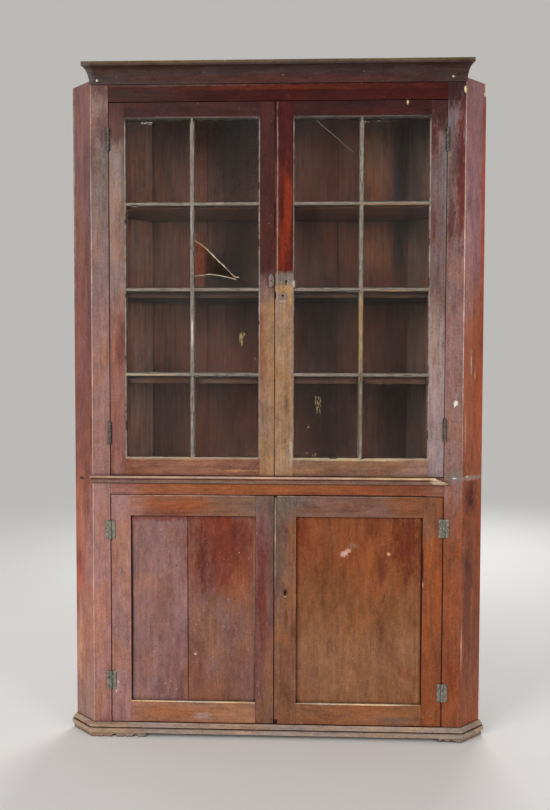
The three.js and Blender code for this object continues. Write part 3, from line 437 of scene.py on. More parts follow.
# Each board: the direction of its grain, its colour, its patches and what differs from wood()'s own values.
# A patch is (colour, x, z, half width, half height, softness, ragged rim, strength). One with a half width or
# half height of 900 or more reaches right across the board.
boards = {
    "front_stile_left": (UPRIGHT, "90695f", [
        # 71605f over the upper half is painted sheen, a reflection on the varnish.
        ("71605f", -545, 1830, 900, 420, 0.6, 0.2, 0.9), ("a07168", -550, 300, 900, 420, 0.6, 0.2, 0.9),
        # 4f3432 at the top is partly painted shade under the cornice.
        ("4f3432", -525, 2030, 34, 60, 0.5, 0.4, 0.75), ("665e5d", -530, 1760, 18, 110, 0.6, 0.6, 0.6),
        # cdb3a8, the pale arris, is worn and a painted highlight.
        ("5a3a35", -528, 1890, 16, 50, 0.6, 0.6, 0.6), ("cdb3a8", -569.5, 1000, 2.2, 1100, 0.5, 0.25, 0.7)],
        {}),
    "front_stile_right": (UPRIGHT, "8c685f", [
        # 765f5f over the upper half is painted sheen, a reflection on the varnish.
        ("765f5f", 540, 1830, 900, 400, 0.6, 0.2, 0.95), ("86492d", 540, 330, 900, 420, 0.5, 0.2, 1.0),
        ("5c211b", 556, 1730, 12, 230, 0.5, 0.7, 0.85), ("6d6563", 519, 1770, 9, 140, 0.7, 0.6, 0.6),
        # 381b1a at the top is partly painted shade under the cornice.
        ("381b1a", 540, 2005, 60, 70, 0.45, 0.4, 0.95), ("5a1d17", 560, 1930, 10, 60, 0.6, 0.7, 0.7),
        ("54221d", 528, 1590, 11, 60, 0.6, 0.7, 0.75), ("4a2220", 545, 1780, 22, 90, 0.6, 0.8, 0.5),
        # cdb6aa, the pale arris, is worn and a painted highlight.
        ("767067", 545, 822, 26, 16, 0.6, 0.5, 0.7), ("cdb6aa", 569.5, 1500, 2.2, 560, 0.5, 0.25, 0.7),
        ("d8c79a", 566, 1990, 4, 10, 0.2, 0.2, 1.0), ("9b9490", 550, 1070, 5, 16, 0.7, 0.6, 0.5),
        ("ece6da", 548, 1048, 6.0, 10, 0.3, 0.6, 1.0), ("e3ddd2", 545, 818.5, 7, 1.8, 0.4, 0.5, 0.9)], {}),
    "return_left": (UPRIGHT, "7b4e48", [
        # 73524f over the upper half is painted sheen, a reflection on the varnish.
        ("73524f", -600, 1800, 900, 420, 0.6, 0.2, 0.9), ("a37066", -600, 420, 900, 330, 0.6, 0.2, 0.9),
        ("957a6e", -605, 90, 70, 110, 0.6, 0.6, 0.7), ("9e5238", -630, 560, 14, 220, 0.6, 0.6, 0.7),
        ("c9906c", -622, 260, 12, 120, 0.6, 0.9, 0.6), ("221713", -614, 806, 8, 4, 0.4, 0.3, 0.9),
        ("a89b92", -638, 1700, 3, 300, 0.5, 0.8, 0.5)], {}),
    "return_right": (UPRIGHT, "9a5940", [
        # 92696a over the upper half is painted sheen, a reflection on the varnish.
        ("92696a", 600, 1830, 900, 440, 0.5, 0.2, 0.95), ("8d5139", 600, 380, 900, 420, 0.4, 0.2, 1.0),
        ("a2492c", 637, 1560, 9, 520, 0.5, 0.6, 0.8), ("a5512f", 628, 1100, 22, 230, 0.6, 0.5, 0.7),
        ("c07844", 637, 2008, 7, 24, 0.3, 0.2, 0.95), ("e0c590", 636, 1993, 5, 5, 0.4, 0.3, 0.9),
        ("2e1812", 603, 742, 7, 8, 0.4, 0.3, 0.95), ("4e1f1f", 600, 762, 20, 50, 0.6, 0.6, 0.85),
        ("4f241d", 592, 420, 12, 200, 0.6, 0.8, 0.5), ("c9b99f", 572.5, 290, 1.4, 60, 0.5, 0.5, 0.8),
        ("954b28", 630, 560, 12, 200, 0.6, 0.6, 0.7), ("9f8b80", 606, 817, 46, 7, 0.5, 0.7, 0.7),
        ("cfc0b2", 586, 822, 6, 3, 0.5, 0.6, 0.7), ("b98d84", 580, 1500, 8, 170, 0.8, 0.9, 0.45),
        ("b5877c", 596, 1390, 5, 90, 0.8, 0.9, 0.4), ("d8c9b8", 598, 1170, 1.6, 30, 0.6, 0.9, 0.55),
        ("d8c9b8", 612, 1130, 1.2, 18, 0.6, 0.9, 0.5), ("c99a84", 579, 960, 2.4, 70, 0.7, 0.9, 0.45)], {}),
    # The frieze rail's dark colour, 360f0a, is partly painted shade under the cornice.
    "frieze_rail": (LEVEL, "360f0a", [
        ("3c201b", -450, 2000, 170, 80, 0.5, 0.3, 0.9), ("5c2415", 60, 2001, 380, 7, 0.7, 0.8, 0.7),
        ("451611", 250, 1975, 260, 14, 0.6, 0.5, 0.6), ("33231f", -468, 1986, 22, 9, 0.7, 0.5, 0.85),
        ("6f4a40", -300, 2009, 250, 3, 0.6, 0.6, 0.6)], {}),
    "waist_rail": (LEVEL, "7b442d", [
        ("150b08", 0, 762.5, 3000, 1.8, 0.4, 0.3, 0.9), ("85503a", -300, 790, 300, 100, 0.5, 0.2, 0.8),
        ("97592f", -60, 786, 240, 14, 0.6, 0.6, 0.6), ("9a685d", -520, 780, 80, 90, 0.7, 0.3, 0.9),
        ("7d5547", 520, 790, 50, 90, 0.7, 0.3, 0.8), ("2a1a14", -200, 796.5, 46, 1.6, 0.5, 0.6, 0.95)], {}),
    "cornice": (LEVEL, "423231", [
        ("4a211e", 60, 2026, 420, 12, 0.5, 0.4, 0.6), ("5c4d38", 0, 2067.5, 3000, 5.0, 0.4, 0.3, 0.9),
        ("8f8161", 0, 2071.5, 3000, 1.8, 0.6, 0.5, 0.85), ("635e5f", -580, 2040, 20, 40, 0.5, 0.3, 0.7),
        ("1c1210", 545, 2033, 3.5, 3, 0.3, 0.1, 1.0)], {}),
    "waist_moulding": (LEVEL, "86594a", [
        # c0a087 and d3b07c along the bead's top are a painted highlight; 3a261c beneath the bead is a painted
        # shadow line.
        ("c0a087", 0, 818, 3000, 3.2, 0.4, 0.1, 0.9), ("3a261c", 0, 810.5, 3000, 1.6, 0.5, 0.3, 0.8),
        ("7b6354", 0, 801, 3000, 5.5, 0.4, 0.1, 0.8), ("d3b07c", 340, 818, 170, 2.8, 0.5, 0.6, 0.7),
        ("d9c2a0", 505, 812, 28, 12, 0.4, 0.4, 0.8)], {"worn": 0.3}),
    # 5b4b41 is a painted shade line under the bead.
    "base_moulding": (LEVEL, "a18d80", [("5b4b41", 0, 30, 3000, 2, 0.5, 0.3, 0.6)], {"film": 0.4}),
    "upper_left_hinge_stile": (UPRIGHT, "846e69", [
        ("8a584a", -487, 1050, 200, 300, 0.4, 0.2, 0.95), ("645b59", -468, 1750, 8, 120, 0.6, 0.6, 0.6),
        # 472927 at the top is partly painted shade under the cornice.
        ("472927", -488, 1905, 40, 70, 0.5, 0.4, 0.85), ("5d2f29", -480, 1240, 14, 90, 0.6, 0.6, 0.6),
        ("2a1512", -513, 1380, 1.8, 3000, 0.4, 0.3, 0.85)], {}),
    # Its dark colour, 3c2422, is partly painted shade under the cornice.
    "upper_left_top_rail": (LEVEL, "3c2422", [("6a5f58", -258, 1913, 240, 2.6, 0.6, 0.6, 0.7)], {}),
    "upper_left_bottom_rail": (LEVEL, "875844", [
        # a8927a along the top edge is worn and a painted highlight.
        ("a8927a", -258, 874, 225, 3.0, 0.5, 0.5, 0.65), ("c08a55", -90, 838, 62, 4, 0.5, 0.9, 0.7)], {}),
    "upper_left_meeting_stile": (UPRIGHT, "8f6e55", [
        ("44231f", -31, 1720, 200, 330, 0.12, 0.2, 1.0), ("6f5c5a", -31, 1395, 60, 44, 0.5, 0.3, 0.75),
        ("241412", -1.5, 1500, 3.4, 460, 0.5, 0.3, 0.85), ("7d4738", -44, 1180, 8, 170, 0.6, 0.6, 0.6)], {}),
    "upper_right_hinge_stile": (UPRIGHT, "957e7b", [
        ("6f5755", 487, 1650, 200, 330, 0.25, 0.2, 0.95), ("77706e", 510, 1760, 9, 140, 0.7, 0.6, 0.6),
        # 3c1a19 at the top is partly painted shade under the cornice.
        ("3c1a19", 490, 1925, 60, 62, 0.5, 0.5, 0.95), ("4d201d", 474, 1850, 12, 60, 0.6, 0.7, 0.8),
        ("5c2a25", 474, 1590, 8, 60, 0.6, 0.7, 0.6), ("2b2120", 513, 1380, 1.5, 3000, 0.4, 0.3, 0.7)], {}),
    # Its dark colour, 2f1615, is partly painted shade under the cornice.
    "upper_right_top_rail": (LEVEL, "2f1615", [
        ("cbbd9a", 394, 1953, 3.0, 5.5, 0.4, 0.6, 0.9), ("6a5f58", 258, 1913, 240, 2.6, 0.6, 0.6, 0.7),
        ("4d1d18", 300, 1925, 150, 9, 0.6, 0.6, 0.6)], {}),
    "upper_right_bottom_rail": (LEVEL, "7f5d4a", [
        # b9a98a along the top edge is worn and a painted highlight.
        ("b9a98a", 258, 874, 225, 3.4, 0.5, 0.5, 0.75), ("8a6c62", 430, 848, 60, 50, 0.7, 0.3, 0.8)], {}),
    "upper_right_meeting_stile": (UPRIGHT, "94745a", [
        # 431613 at the top is partly painted shade under the cornice.
        ("571b0e", 26, 1660, 200, 245, 0.08, 0.15, 1.0), ("431613", 26, 1880, 200, 110, 0.4, 0.2, 1.0),
        ("8e3216", 36, 1640, 11, 120, 0.6, 0.6, 0.75), ("7d2812", 20, 1520, 10, 90, 0.6, 0.6, 0.6),
        ("3c130f", 40, 1760, 13, 30, 0.6, 0.6, 0.7), ("736860", 26, 1427, 60, 20, 0.4, 0.35, 0.9),
        ("a27c49", 18, 1394, 27, 14, 0.4, 0.7, 0.7), ("a98a4c", 44, 1370, 6, 30, 0.5, 0.7, 0.6),
        ("a5957c", 47, 900, 6, 40, 0.6, 0.5, 0.7), ("8f7f77", 3, 1600, 2.4, 380, 0.5, 0.5, 0.6),
        ("6b5347", 21, 1371, 14, 14, 0.12, 0.1, 0.6), ("8c7067", 21, 1371, 11.5, 11.5, 0.2, 0.1, 0.9),
        ("b5a392", 19, 1358, 10, 3, 0.5, 0.6, 0.7), ("43170f", 19, 1375, 3.2, 3.6, 0.3, 0.1, 1.0),
        ("20100c", 14, 1422, 1.8, 1.8, 0.3, 0.1, 1.0), ("b9ae9c", 49, 1413, 2.5, 8, 0.4, 0.6, 0.8)],
        {"streak": 1.6}),
    "lower_left_hinge_stile": (UPRIGHT, "986f67", [
        ("b08d84", -500, 160, 12, 26, 0.6, 0.9, 0.6), ("2a1512", -513, 404, 2.0, 3000, 0.4, 0.3, 0.9),
        ("d9c0bc", -499, 204, 2.6, 2.6, 0.4, 0.6, 0.9), ("d9c0bc", -492, 171, 3.0, 4.0, 0.4, 0.6, 0.9),
        ("d9c0bc", -499, 141, 2.6, 3.0, 0.4, 0.6, 0.9)], {"film": 0.5}),
    "lower_left_panel": (UPRIGHT, "896560", [
        ("7f574a", -168, 400, 106, 3000, 0.02, 0.0, 1.0), ("8c3a22", -160, 672, 80, 18, 0.6, 0.9, 0.6),
        ("702f21", -168, 600, 104, 150, 0.6, 0.6, 0.85), ("8f5638", -112, 480, 24, 50, 0.7, 0.9, 0.5),
        ("80625a", -190, 330, 60, 120, 0.6, 0.5, 0.7), ("5a211a", -225, 560, 16, 80, 0.7, 0.9, 0.6),
        ("6f3125", -350, 692, 110, 14, 0.5, 0.6, 0.7), ("b98f78", -66, 500, 3, 190, 0.5, 0.8, 0.5),
        ("dcbfae", -251, 260, 4, 3, 0.4, 0.6, 0.9), ("241310", -274, 400, 1.5, 310, 0.25, 0.0, 1.0),
        # 3c1712 along the left edge is a painted shadow of the frame on the sunk panel.
        ("3c1712", -450, 404, 4.2, 290, 0.4, 0.25, 0.9)],
        {"specks": 1.6, "speck_tone": "d8cfc4", "film": 0.4, "streak": 0.75, "mottle": 1.0}),
    "lower_left_top_rail": (LEVEL, "845644", [
        ("96532d", -330, 728, 110, 22, 0.6, 0.6, 0.7), ("986a60", -452, 728, 46, 60, 0.7, 0.3, 0.9),
        # caa591 along the top edge is worn and a painted highlight.
        ("caa591", -260, 760, 300, 1.8, 0.5, 0.6, 0.75)], {}),
    "lower_left_bottom_rail": (LEVEL, "926a56", [
        ("99603f", -320, 75, 130, 26, 0.6, 0.5, 0.6), ("986a60", -452, 75, 46, 60, 0.7, 0.3, 0.9),
        # e0c9ad along the top edge is worn and a painted highlight.
        ("e0c9ad", -257, 111.5, 212, 2.2, 0.5, 0.25, 0.95), ("9a8488", -228, 66, 26, 11, 0.7, 0.9, 0.7)], {}),
    "lower_left_meeting_stile": (UPRIGHT, "754d46", [
        ("7d5c49", -25, 90, 30, 60, 0.5, 0.3, 0.8), ("140c0a", -1, 53, 5, 9, 0.4, 0.4, 0.95)],
        {"specks": 1.3}),
    "lower_right_hinge_stile": (UPRIGHT, "864a2b", [
        ("7c5443", 470, 700, 30, 80, 0.6, 0.5, 0.7), ("c98f80", 453, 489, 1.6, 7, 0.5, 0.5, 0.9),
        ("4c1611", 453, 560, 2.5, 60, 0.5, 0.5, 0.85), ("1d100d", 513, 404, 2.6, 3000, 0.4, 0.3, 0.9)],
        {"film": 0.5}),
    "lower_right_panel": (UPRIGHT, "835233", [
        ("8b6046", 257, 190, 400, 150, 0.6, 0.3, 0.8), ("7f4526", 257, 640, 400, 170, 0.6, 0.3, 0.9),
        ("5c2417", 405, 600, 40, 80, 0.6, 0.7, 0.85), ("65301b", 300, 670, 26, 40, 0.6, 0.8, 0.6),
        ("672a1a", 80, 640, 18, 60, 0.6, 0.8, 0.7), ("64301f", 330, 540, 12, 60, 0.6, 0.8, 0.6),
        # 3c1712 along the right edge is a painted shadow of the frame on the sunk panel.
        ("7d6557", 236, 606, 14, 8, 0.6, 0.8, 0.6), ("3c1712", 450, 404, 3.6, 290, 0.4, 0.25, 0.8),
        ("c79c8d", 212, 580, 11, 8, 0.5, 0.9, 0.9), ("c79c8d", 224, 590, 9, 6, 0.5, 0.9, 0.8),
        ("c08c5c", 349, 581, 5.0, 5.0, 0.5, 0.8, 0.75), ("e6cdc2", 350, 580, 1.8, 1.8, 0.5, 0.5, 0.95)],
        {"specks": 1.0, "film": 0.35, "worn": 0.4, "mottle": 1.1, "streak": 0.75}),
    "lower_right_top_rail": (LEVEL, "7b5848", [
        # b08b70 along the top edge is worn and a painted highlight.
        ("864d2e", 420, 728, 60, 60, 0.7, 0.4, 0.8), ("b08b70", 200, 760, 320, 1.8, 0.5, 0.6, 0.7)], {}),
    "lower_right_bottom_rail": (LEVEL, "88593f", [
        # e0c9ad along the top edge is worn and a painted highlight.
        ("e0c9ad", 257, 111.5, 212, 2.2, 0.5, 0.25, 0.95), ("6d5a58", 360, 64, 60, 10, 0.6, 0.7, 0.5)],
        {"film": 0.5}),
    "lower_right_meeting_stile": (UPRIGHT, "7f553f", [
        # b8a088 along the left and top edges is worn and a painted highlight.
        ("b8a088", -2.5, 640, 2.0, 130, 0.5, 0.6, 0.7), ("b8a088", 20, 760, 40, 1.8, 0.5, 0.6, 0.7),
        ("2a1a12", 29, 424, 2.0, 2.0, 0.3, 0.1, 1.0), ("c8bfae", 29.5, 447, 2.0, 1.4, 0.3, 0.1, 0.9),
        ("33201a", 29.5, 461, 6, 11, 0.4, 0.3, 0.8), ("140c0a", 1, 53, 6, 9, 0.4, 0.4, 0.95),
        ("120a08", -0.5, 758.5, 5, 4, 0.4, 0.3, 0.95), ("4f2d1e", 31, 384, 5.5, 24, 0.5, 0.2, 0.9),
        ("7d4c33", 31, 380, 4, 16, 0.5, 0.2, 0.8)], {}),
    # 4a3832 down its left side is a painted shadow.
    "turn_button": (UPRIGHT, "7b6a62", [("4a3832", -25, 1419, 3, 22, 0.5, 0.3, 0.8)], {}),
}
# Clouds that run across the joints of a door, laid under the patches of its boards.
clouds = {
    # upper_left and upper_right make the doors darker along the top, partly painted shade under the cornice.
    "upper_left": [("3e201e", -260, 1975, 3000, 56, 0.5, 0.35, 0.85)],
    "upper_right": [("381a19", 260, 1975, 3000, 62, 0.5, 0.35, 0.9)],
    "lower_left": [
        ("6b5c50", -70, 742, 110, 56, 0.7, 0.4, 0.65), ("5c463e", -8, 590, 18, 200, 0.7, 0.4, 0.6),
        ("682a20", -42, 450, 12, 170, 0.6, 0.8, 0.7), ("8d5b36", -20, 180, 20, 120, 0.7, 0.6, 0.5)],
    "lower_right": [("676058", 10, 740, 80, 50, 0.7, 0.4, 0.75), ("625349", 4, 600, 26, 160, 0.7, 0.4, 0.65)],
}
# What lies behind the doors: the direction of its grain, its colour and its patches.
inside = {
    "side_board_left": (UPRIGHT, "8d5f54", [("7a4032", -505, 1400, 18, 900, 0.3, 0.2, 0.8)]),
    "side_board_right": (UPRIGHT, "59413a", [("7c3f2b", 500, 1400, 22, 900, 0.3, 0.2, 0.8)]),
    # Most of the rear boards' patches are painted light and shade as seen through the panes: dark bands along
    # the two corners, 17100d and 24272b, a painted shadow behind the broken pane, 1e1815 and 15100d, and
    # lighter and darker areas.
    "rear_boards": (UPRIGHT, "653b32", [
        ("17100d", -423, 1400, 3, 3000, 0.5, 0.2, 0.85), ("1e1c20", 389, 1080, 62, 250, 0.7, 0.3, 0.6),
        ("2b282a", -140, 1850, 80, 340, 0.8, 0.4, 0.55), ("382924", -110, 1500, 50, 300, 0.8, 0.4, 0.5),
        ("1e1815", -145, 1490, 90, 84, 0.9, 0.4, 0.65), ("15100d", -196, 1468, 56, 56, 0.8, 0.4, 0.75),
        ("7a3b28", -272, 1500, 18, 90, 0.6, 0.3, 0.9), ("302728", 140, 1150, 80, 420, 0.8, 0.4, 0.55),
        ("8a5f45", 318, 1840, 44, 120, 0.6, 0.3, 0.7), ("8a5a40", 320, 1560, 50, 90, 0.6, 0.3, 0.7),
        ("24272b", 400, 1700, 24, 260, 0.6, 0.2, 0.8), ("9a6450", -370, 1500, 90, 330, 0.7, 0.4, 0.6),
        ("7a4838", -360, 1250, 60, 110, 0.6, 0.3, 0.6), ("6b3a2e", 190, 1560, 50, 70, 0.6, 0.3, 0.6)]),
    "top_board": (LEVEL, "54392f", []), "bottom_board": (LEVEL, "4a352c", []),
    "upper_shelf_1": (LEVEL, "7d4c3d", []), "upper_shelf_2": (LEVEL, "442d27", []),
    "upper_shelf_3": (LEVEL, "563830", []), "waist_deck": (LEVEL, "5a3c30", []),
}
# Patches on the glazing bars, on the putty and on the edge of the broken pane.
glazing_marks = [
    ("85776a", -257, 1850, 12, 100, 0.6, 0.6, 0.7), ("98a2a6", -261, 1600, 3, 50, 0.6, 0.6, 0.7),
    ("dcc8bc", -259, 1262, 4, 40, 0.5, 0.6, 0.85), ("c2a97c", -400, 1131, 70, 5, 0.5, 0.8, 0.7)]
putty_marks = [
    ("a5989a", -53, 1320, 8, 62, 0.4, 0.5, 0.9), ("b5aca0", 57, 1409, 8, 12, 0.3, 0.3, 0.95),
    ("b98a1f", 258, 1265, 12, 130, 0.3, 0.5, 0.9), ("6d5a2c", 256, 1000, 10, 130, 0.4, 0.5, 0.8),
    # 241e18 along the top of each top pane is painted shade under the top rail.
    ("241e18", -258, 1909, 230, 12, 0.4, 0.5, 1.0), ("241e18", 258, 1909, 230, 11, 0.4, 0.6, 1.0),
    ("b98f35", 360, 1646, 95, 5, 0.4, 0.7, 0.8), ("b98f35", 360, 1384, 95, 5, 0.4, 0.7, 0.8),
    ("b98f35", 150, 1122, 95, 5, 0.4, 0.7, 0.8), ("9a6543", 360, 1650, 100, 5, 0.4, 0.8, 0.7),
    ("cdb48c", 258, 877, 215, 7, 0.4, 0.5, 0.8), ("bfa584", -258, 877, 215, 7, 0.4, 0.5, 0.7)]
edge_marks = [("96663a", -236, 1528, 34, 34, 0.5, 0.6, 0.9), ("c9a98e", -120, 1433, 30, 12, 0.6, 0.6, 0.7)]
board_shift, inside_shift, inside_start = 1.37, 2.11, 40  # set the grain of each board apart from the others
weld_reach = 0.00002  # metres
flat_angle, arris_angle = 0.5, 28  # degrees: what counts as flat, and what as an arris


def give(node, material):
    """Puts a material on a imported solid."""
    for place in node.material_slots:
        place.material = material


def arris_width(name):
    """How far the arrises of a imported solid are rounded."""
    if "leaf" in name or "lock" in name:
        return 0.25
    if "glazing" in name:
        return 0.4
    return 0.8 if name == "turn_button" else 1.1


def soften(node, width):
    """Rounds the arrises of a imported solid, once its triangles are merged into flat faces."""
    weld = node.modifiers.new("weld", "WELD")
    weld.merge_threshold = weld_reach
    flat = node.modifiers.new("flat", "DECIMATE")
    flat.decimate_type, flat.angle_limit = "DISSOLVE", math.radians(flat_angle)
    soft = node.modifiers.new("arris", "BEVEL")
    soft.width, soft.segments = width * MM, 2
    soft.limit_method, soft.angle_limit = "ANGLE", math.radians(arris_angle)
    soft.use_clamp_overlap = True


def finish_nodes():
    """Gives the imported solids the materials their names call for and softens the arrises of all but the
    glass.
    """
    # The bars' downward faces take painted shade, 5a4a3c.
    glazing = plain_finish("glazing_bar_paint", "9a8d81", "665a52", grime="463c33", scale=45.0,
                           under="5a4a3c", marks=glazing_marks)
    iron = plain_finish("hinge_iron", "a19b89", "47443a", rough=(0.45, 0.75), scale=200.0, metal=0.2,
                        grime="3a352b")
    dark_iron = plain_finish("dark_hinge_iron", "6d6a60", "1b1917", rough=(0.45, 0.75), scale=170.0,
                             metal=0.2)
    brass = plain_finish("bolt_brass_old", "8f7844", "5f4d28", rough=(0.3, 0.5), scale=120.0, metal=1.0)
    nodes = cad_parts
    for step, (name, (grain, base, marks, own)) in enumerate(boards.items()):
        over = clouds.get("_".join(name.split("_")[:2]), [])
        give(nodes[name], wood(name + "_stain", grain, base, over + marks, shift=step * board_shift, **own))
    for step, (name, (grain, base, marks)) in enumerate(inside.items()):
        give(nodes[name], wood(name + "_bare", grain, base, marks, shift=step * inside_shift + inside_start,
                               rub=0.3, gloss=(0.6, 0.8), specks=0.3, film=0.7, streak=1.7, back="7f6750"))
    for name, node in nodes.items():
        if "glazing_bars" in name:
            give(node, glazing)
        elif "hinge_case_leaf" in name or "hinge_door_leaf" in name or "lock_case" in name:
            give(node, dark_iron if name.startswith("upper") else iron)
        elif name == "upper_lock_bolt":
            give(node, brass)
        if "glass" not in name:
            soften(node, arris_width(name))


# ---------------------------------------------------------------- pieces
def hang(name, data, body):
    """Puts a finished mesh in the scene as a piece that rides a body."""
    piece = put(name, data)
    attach(piece, body)
    return piece


def add_piece(name, mesh, material, body):
    """Closes a mesh, turns its faces outwards and hangs it on a body."""
    data = bpy.data.meshes.new(name)
    bmesh.ops.remove_doubles(mesh, verts=mesh.verts, dist=1e-7)
    bmesh.ops.recalc_face_normals(mesh, faces=mesh.faces)
    mesh.to_mesh(data)
    mesh.free()
    data.materials.append(material)
    return hang(name, data, body)


# Each glazed door holds four rows of two panes. Doors gives the left edge of each door's glazing rebate.
pane_wide, pane_high, column_step, row_step, first_low = 203, 254, 210, 260, 876
rows, columns, pane_play = 4, 2, 1
doors = {"left": -465.5, "right": 50.5}
# The broken pane's hole, as shares of the pane from its lower left corner, cut off at the pane's edge.
broken = ("left", 2, 1)  # door, row and column
upper_rim = ((0, 0.600), (0.177, 0.493), (0.347, 0.360), (0.516, 0.227), (0.622, 0.145), (0.690, 0.140),
             (0.870, 0.052))
lower_rim = ((0.800, 0.030), (0.644, 0.107), (0.618, 0.122), (0.516, 0.141), (0.380, 0.163), (0.227, 0.177),
             (0.092, 0.161), (0, 0.150))
# How wide the pale edge is at the points of each rim, as shares of a ribbon's width.
upper_widths = (1.4, 1.9, 1.2, 1.0, 1.3, 1.5)
lower_widths = (1.2, 1.2, 1.0, 1.1, 1.0, 0.9, 0.3)
# The crack in the right door's top pane: x, z and width of each point.
crack = [(120, 1904, 0.5), (143, 1884, 0.8), (164, 1866, 0.7), (187, 1847, 0.8), (209, 1827, 0.6),
         (232, 1808, 0.4)]
point_gap = 9  # about how far apart the uneven points of a ragged line are
proud = 0.1 * MM  # how far edge and crack stand out of the glass


def pane_corner(side, row, column):
    """The lower left corner of a pane."""
    return doors[side] + pane_play + column * column_step, first_low + row * row_step


def pane_corners(side):
    """Row, column and lower left corner of each pane of a door."""
    for row in range(rows):
        for column in range(columns):
            yield row, column, *pane_corner(side, row, column)


def hole_points(left, low):
    """The rim of the hole in a pane that has the given lower left corner."""
    return [(left + x * pane_wide, low + y * pane_high) for x, y in upper_rim + lower_rim]


def slab(mesh, outline, front, back):
    """A flat sheet with the given outline, in millimetres, and closed edges."""
    near = [mesh.verts.new((x * MM, front, z * MM)) for x, z in outline]
    far = [mesh.verts.new((x * MM, back, z * MM)) for x, z in outline]
    faces = [mesh.faces.new(near), mesh.faces.new(list(reversed(far)))]
    for i in range(len(near)):
        j = (i + 1) % len(near)
        mesh.faces.new((near[i], far[i], far[j], near[j]))
    for face in faces:
        face.normal_update()
    bmesh.ops.triangulate(mesh, faces=faces, ngon_method="EAR_CLIP")


def glaze(side, material):
    """The separate panes of a door, one of them with its hole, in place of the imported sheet."""
    mesh = bmesh.new()
    for row, column, left, low in pane_corners(side):
        outline = [(left, low), (left + pane_wide, low), (left + pane_wide, low + pane_high),
                   (left, low + pane_high)]
        if (side, row, column) == broken:
            outline += hole_points(left, low)
        slab(mesh, outline, glass_front, glass_back)
    piece = add_piece(side + "_panes", mesh, material, f"upper_{side}_door")
    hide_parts(f"upper_{side}_glass")


def ribbon(mesh, line, width, front, back):
    """A thin strip that follows a line of points on the front, each with its own share of the width."""
    for (x0, z0, w0), (x1, z1, w1) in zip(line, line[1:]):
        across = Vector((z0 - z1, x1 - x0)).normalized() * width * 0.5
        slab(mesh, [(x0 - across.x * w0, z0 - across.y * w0), (x1 - across.x * w1, z1 - across.y * w1),
                    (x1 + across.x * w1, z1 + across.y * w1), (x0 + across.x * w0, z0 + across.y * w0)],
             front, back)


def ragged(line, seed, spread):
    """Puts uneven points between those of a line, each with an uneven width."""
    draw = random.Random(seed)
    found = [line[0]]
    for (x0, z0, w0), (x1, z1, w1) in zip(line, line[1:]):
        count = max(1, round(math.hypot(x1 - x0, z1 - z0) / point_gap))
        for k in range(1, count + 1):
            t = k / count
            stray = spread if k < count else 0
            found.append((x0 + (x1 - x0) * t + draw.uniform(-stray, stray),
                          z0 + (z1 - z0) * t + draw.uniform(-stray, stray),
                          (w0 + (w1 - w0) * t) * draw.uniform(0.45, 1.35)))
    return found


def cut_glass_edges():
    """The pale edges of the broken pane's hole, and the crack across a pane of the right door."""
    edge = plain_finish("cut_glass_edge", "d8c7a4", "8d7c63", rough=(0.3, 0.5), scale=90.0, bump=0.1,
                        marks=edge_marks)
    rim = hole_points(*pane_corner(*broken))
    front, back = glass_front - proud, glass_back + proud
    upper = [(x, z, w) for (x, z), w in zip(rim, upper_widths)]
    lower = [(x, z, w) for (x, z), w in zip(rim[len(upper_rim) + 1:], lower_widths)]
    mesh = bmesh.new()
    ribbon(mesh, ragged(upper, seed=4, spread=1.0), 2.4, front, back)
    ribbon(mesh, ragged(lower, seed=6, spread=0.6), 2.2, front, back)
    add_piece("broken_pane_edge", mesh, edge, f"upper_{broken[0]}_door")
    mesh = bmesh.new()
    ribbon(mesh, ragged(crack, seed=12, spread=0.8), 1.2, front, back)
    grey = plain_finish("crack_line", "b8afa2", "6e665c", rough=(0.3, 0.5), scale=120.0, bump=0.1)
    add_piece("cracked_pane_line", mesh, grey, "upper_right_door")


putty_play = 0.95  # how far the putty runs past a pane's edge, into the rebate
putty_step = 6  # about how far apart the fillet's sections are
mitre = 7  # how near a corner a section leans towards both sides
touching = 1e-6
lump_scale, lump_fine, chip_scale = 0.045, 3.1, 0.6  # of the noise that makes the fillet uneven
chip_shift = Vector((9, 4, 2))
chip_above = 0.42  # the value of the noise above which a piece of putty is missing
belly = 0.42  # how far down the fillet's slope its middle line lies
seated = 0.05  # how far the putty's back stays off the glass


def inward_step(value, low, high):
    """Which way into the pane lies, along one direction, and how strongly: fully at a side, less along the
    sides that meet it, and not at all beyond the mitre."""
    if abs(value - low) < touching:
        return 1
    if abs(value - high) < touching:
        return -1
    lean = max(0, 1 - min(value - low, high - value) / mitre)
    return lean if value < (low + high) / 2 else -lean


def putty_section(side, row, column, edge, x, z):
    """How far the fillet reaches over the glass here, and how far below the front face it starts."""
    spot = Vector((x * lump_scale, z * lump_scale, row * 7.3 + column * 3.1 + edge))
    lump = noise.noise(spot) + 0.5 * noise.noise(spot * lump_fine)
    reach, rise = 5.0 + 1.3 * lump, 0.9 - 0.7 * lump
    if noise.noise(spot * chip_scale + chip_shift) > chip_above:
        reach, rise = 2.2 + lump, 4.4
    reach, rise = min(max(reach, 1.6), 7.0), min(max(rise, 0.25), 6.4)
    if (side, row, column, edge) == ("right", 2, 0, 3) and z < 1420:  # a thick lump beside the keyhole
        reach, rise = 9.5, 0.3
    if row == 3 and edge == 2:  # under the top rail
        reach = min(max(reach + 5.0 * lump, 4.0), 11.0)
    return reach, rise


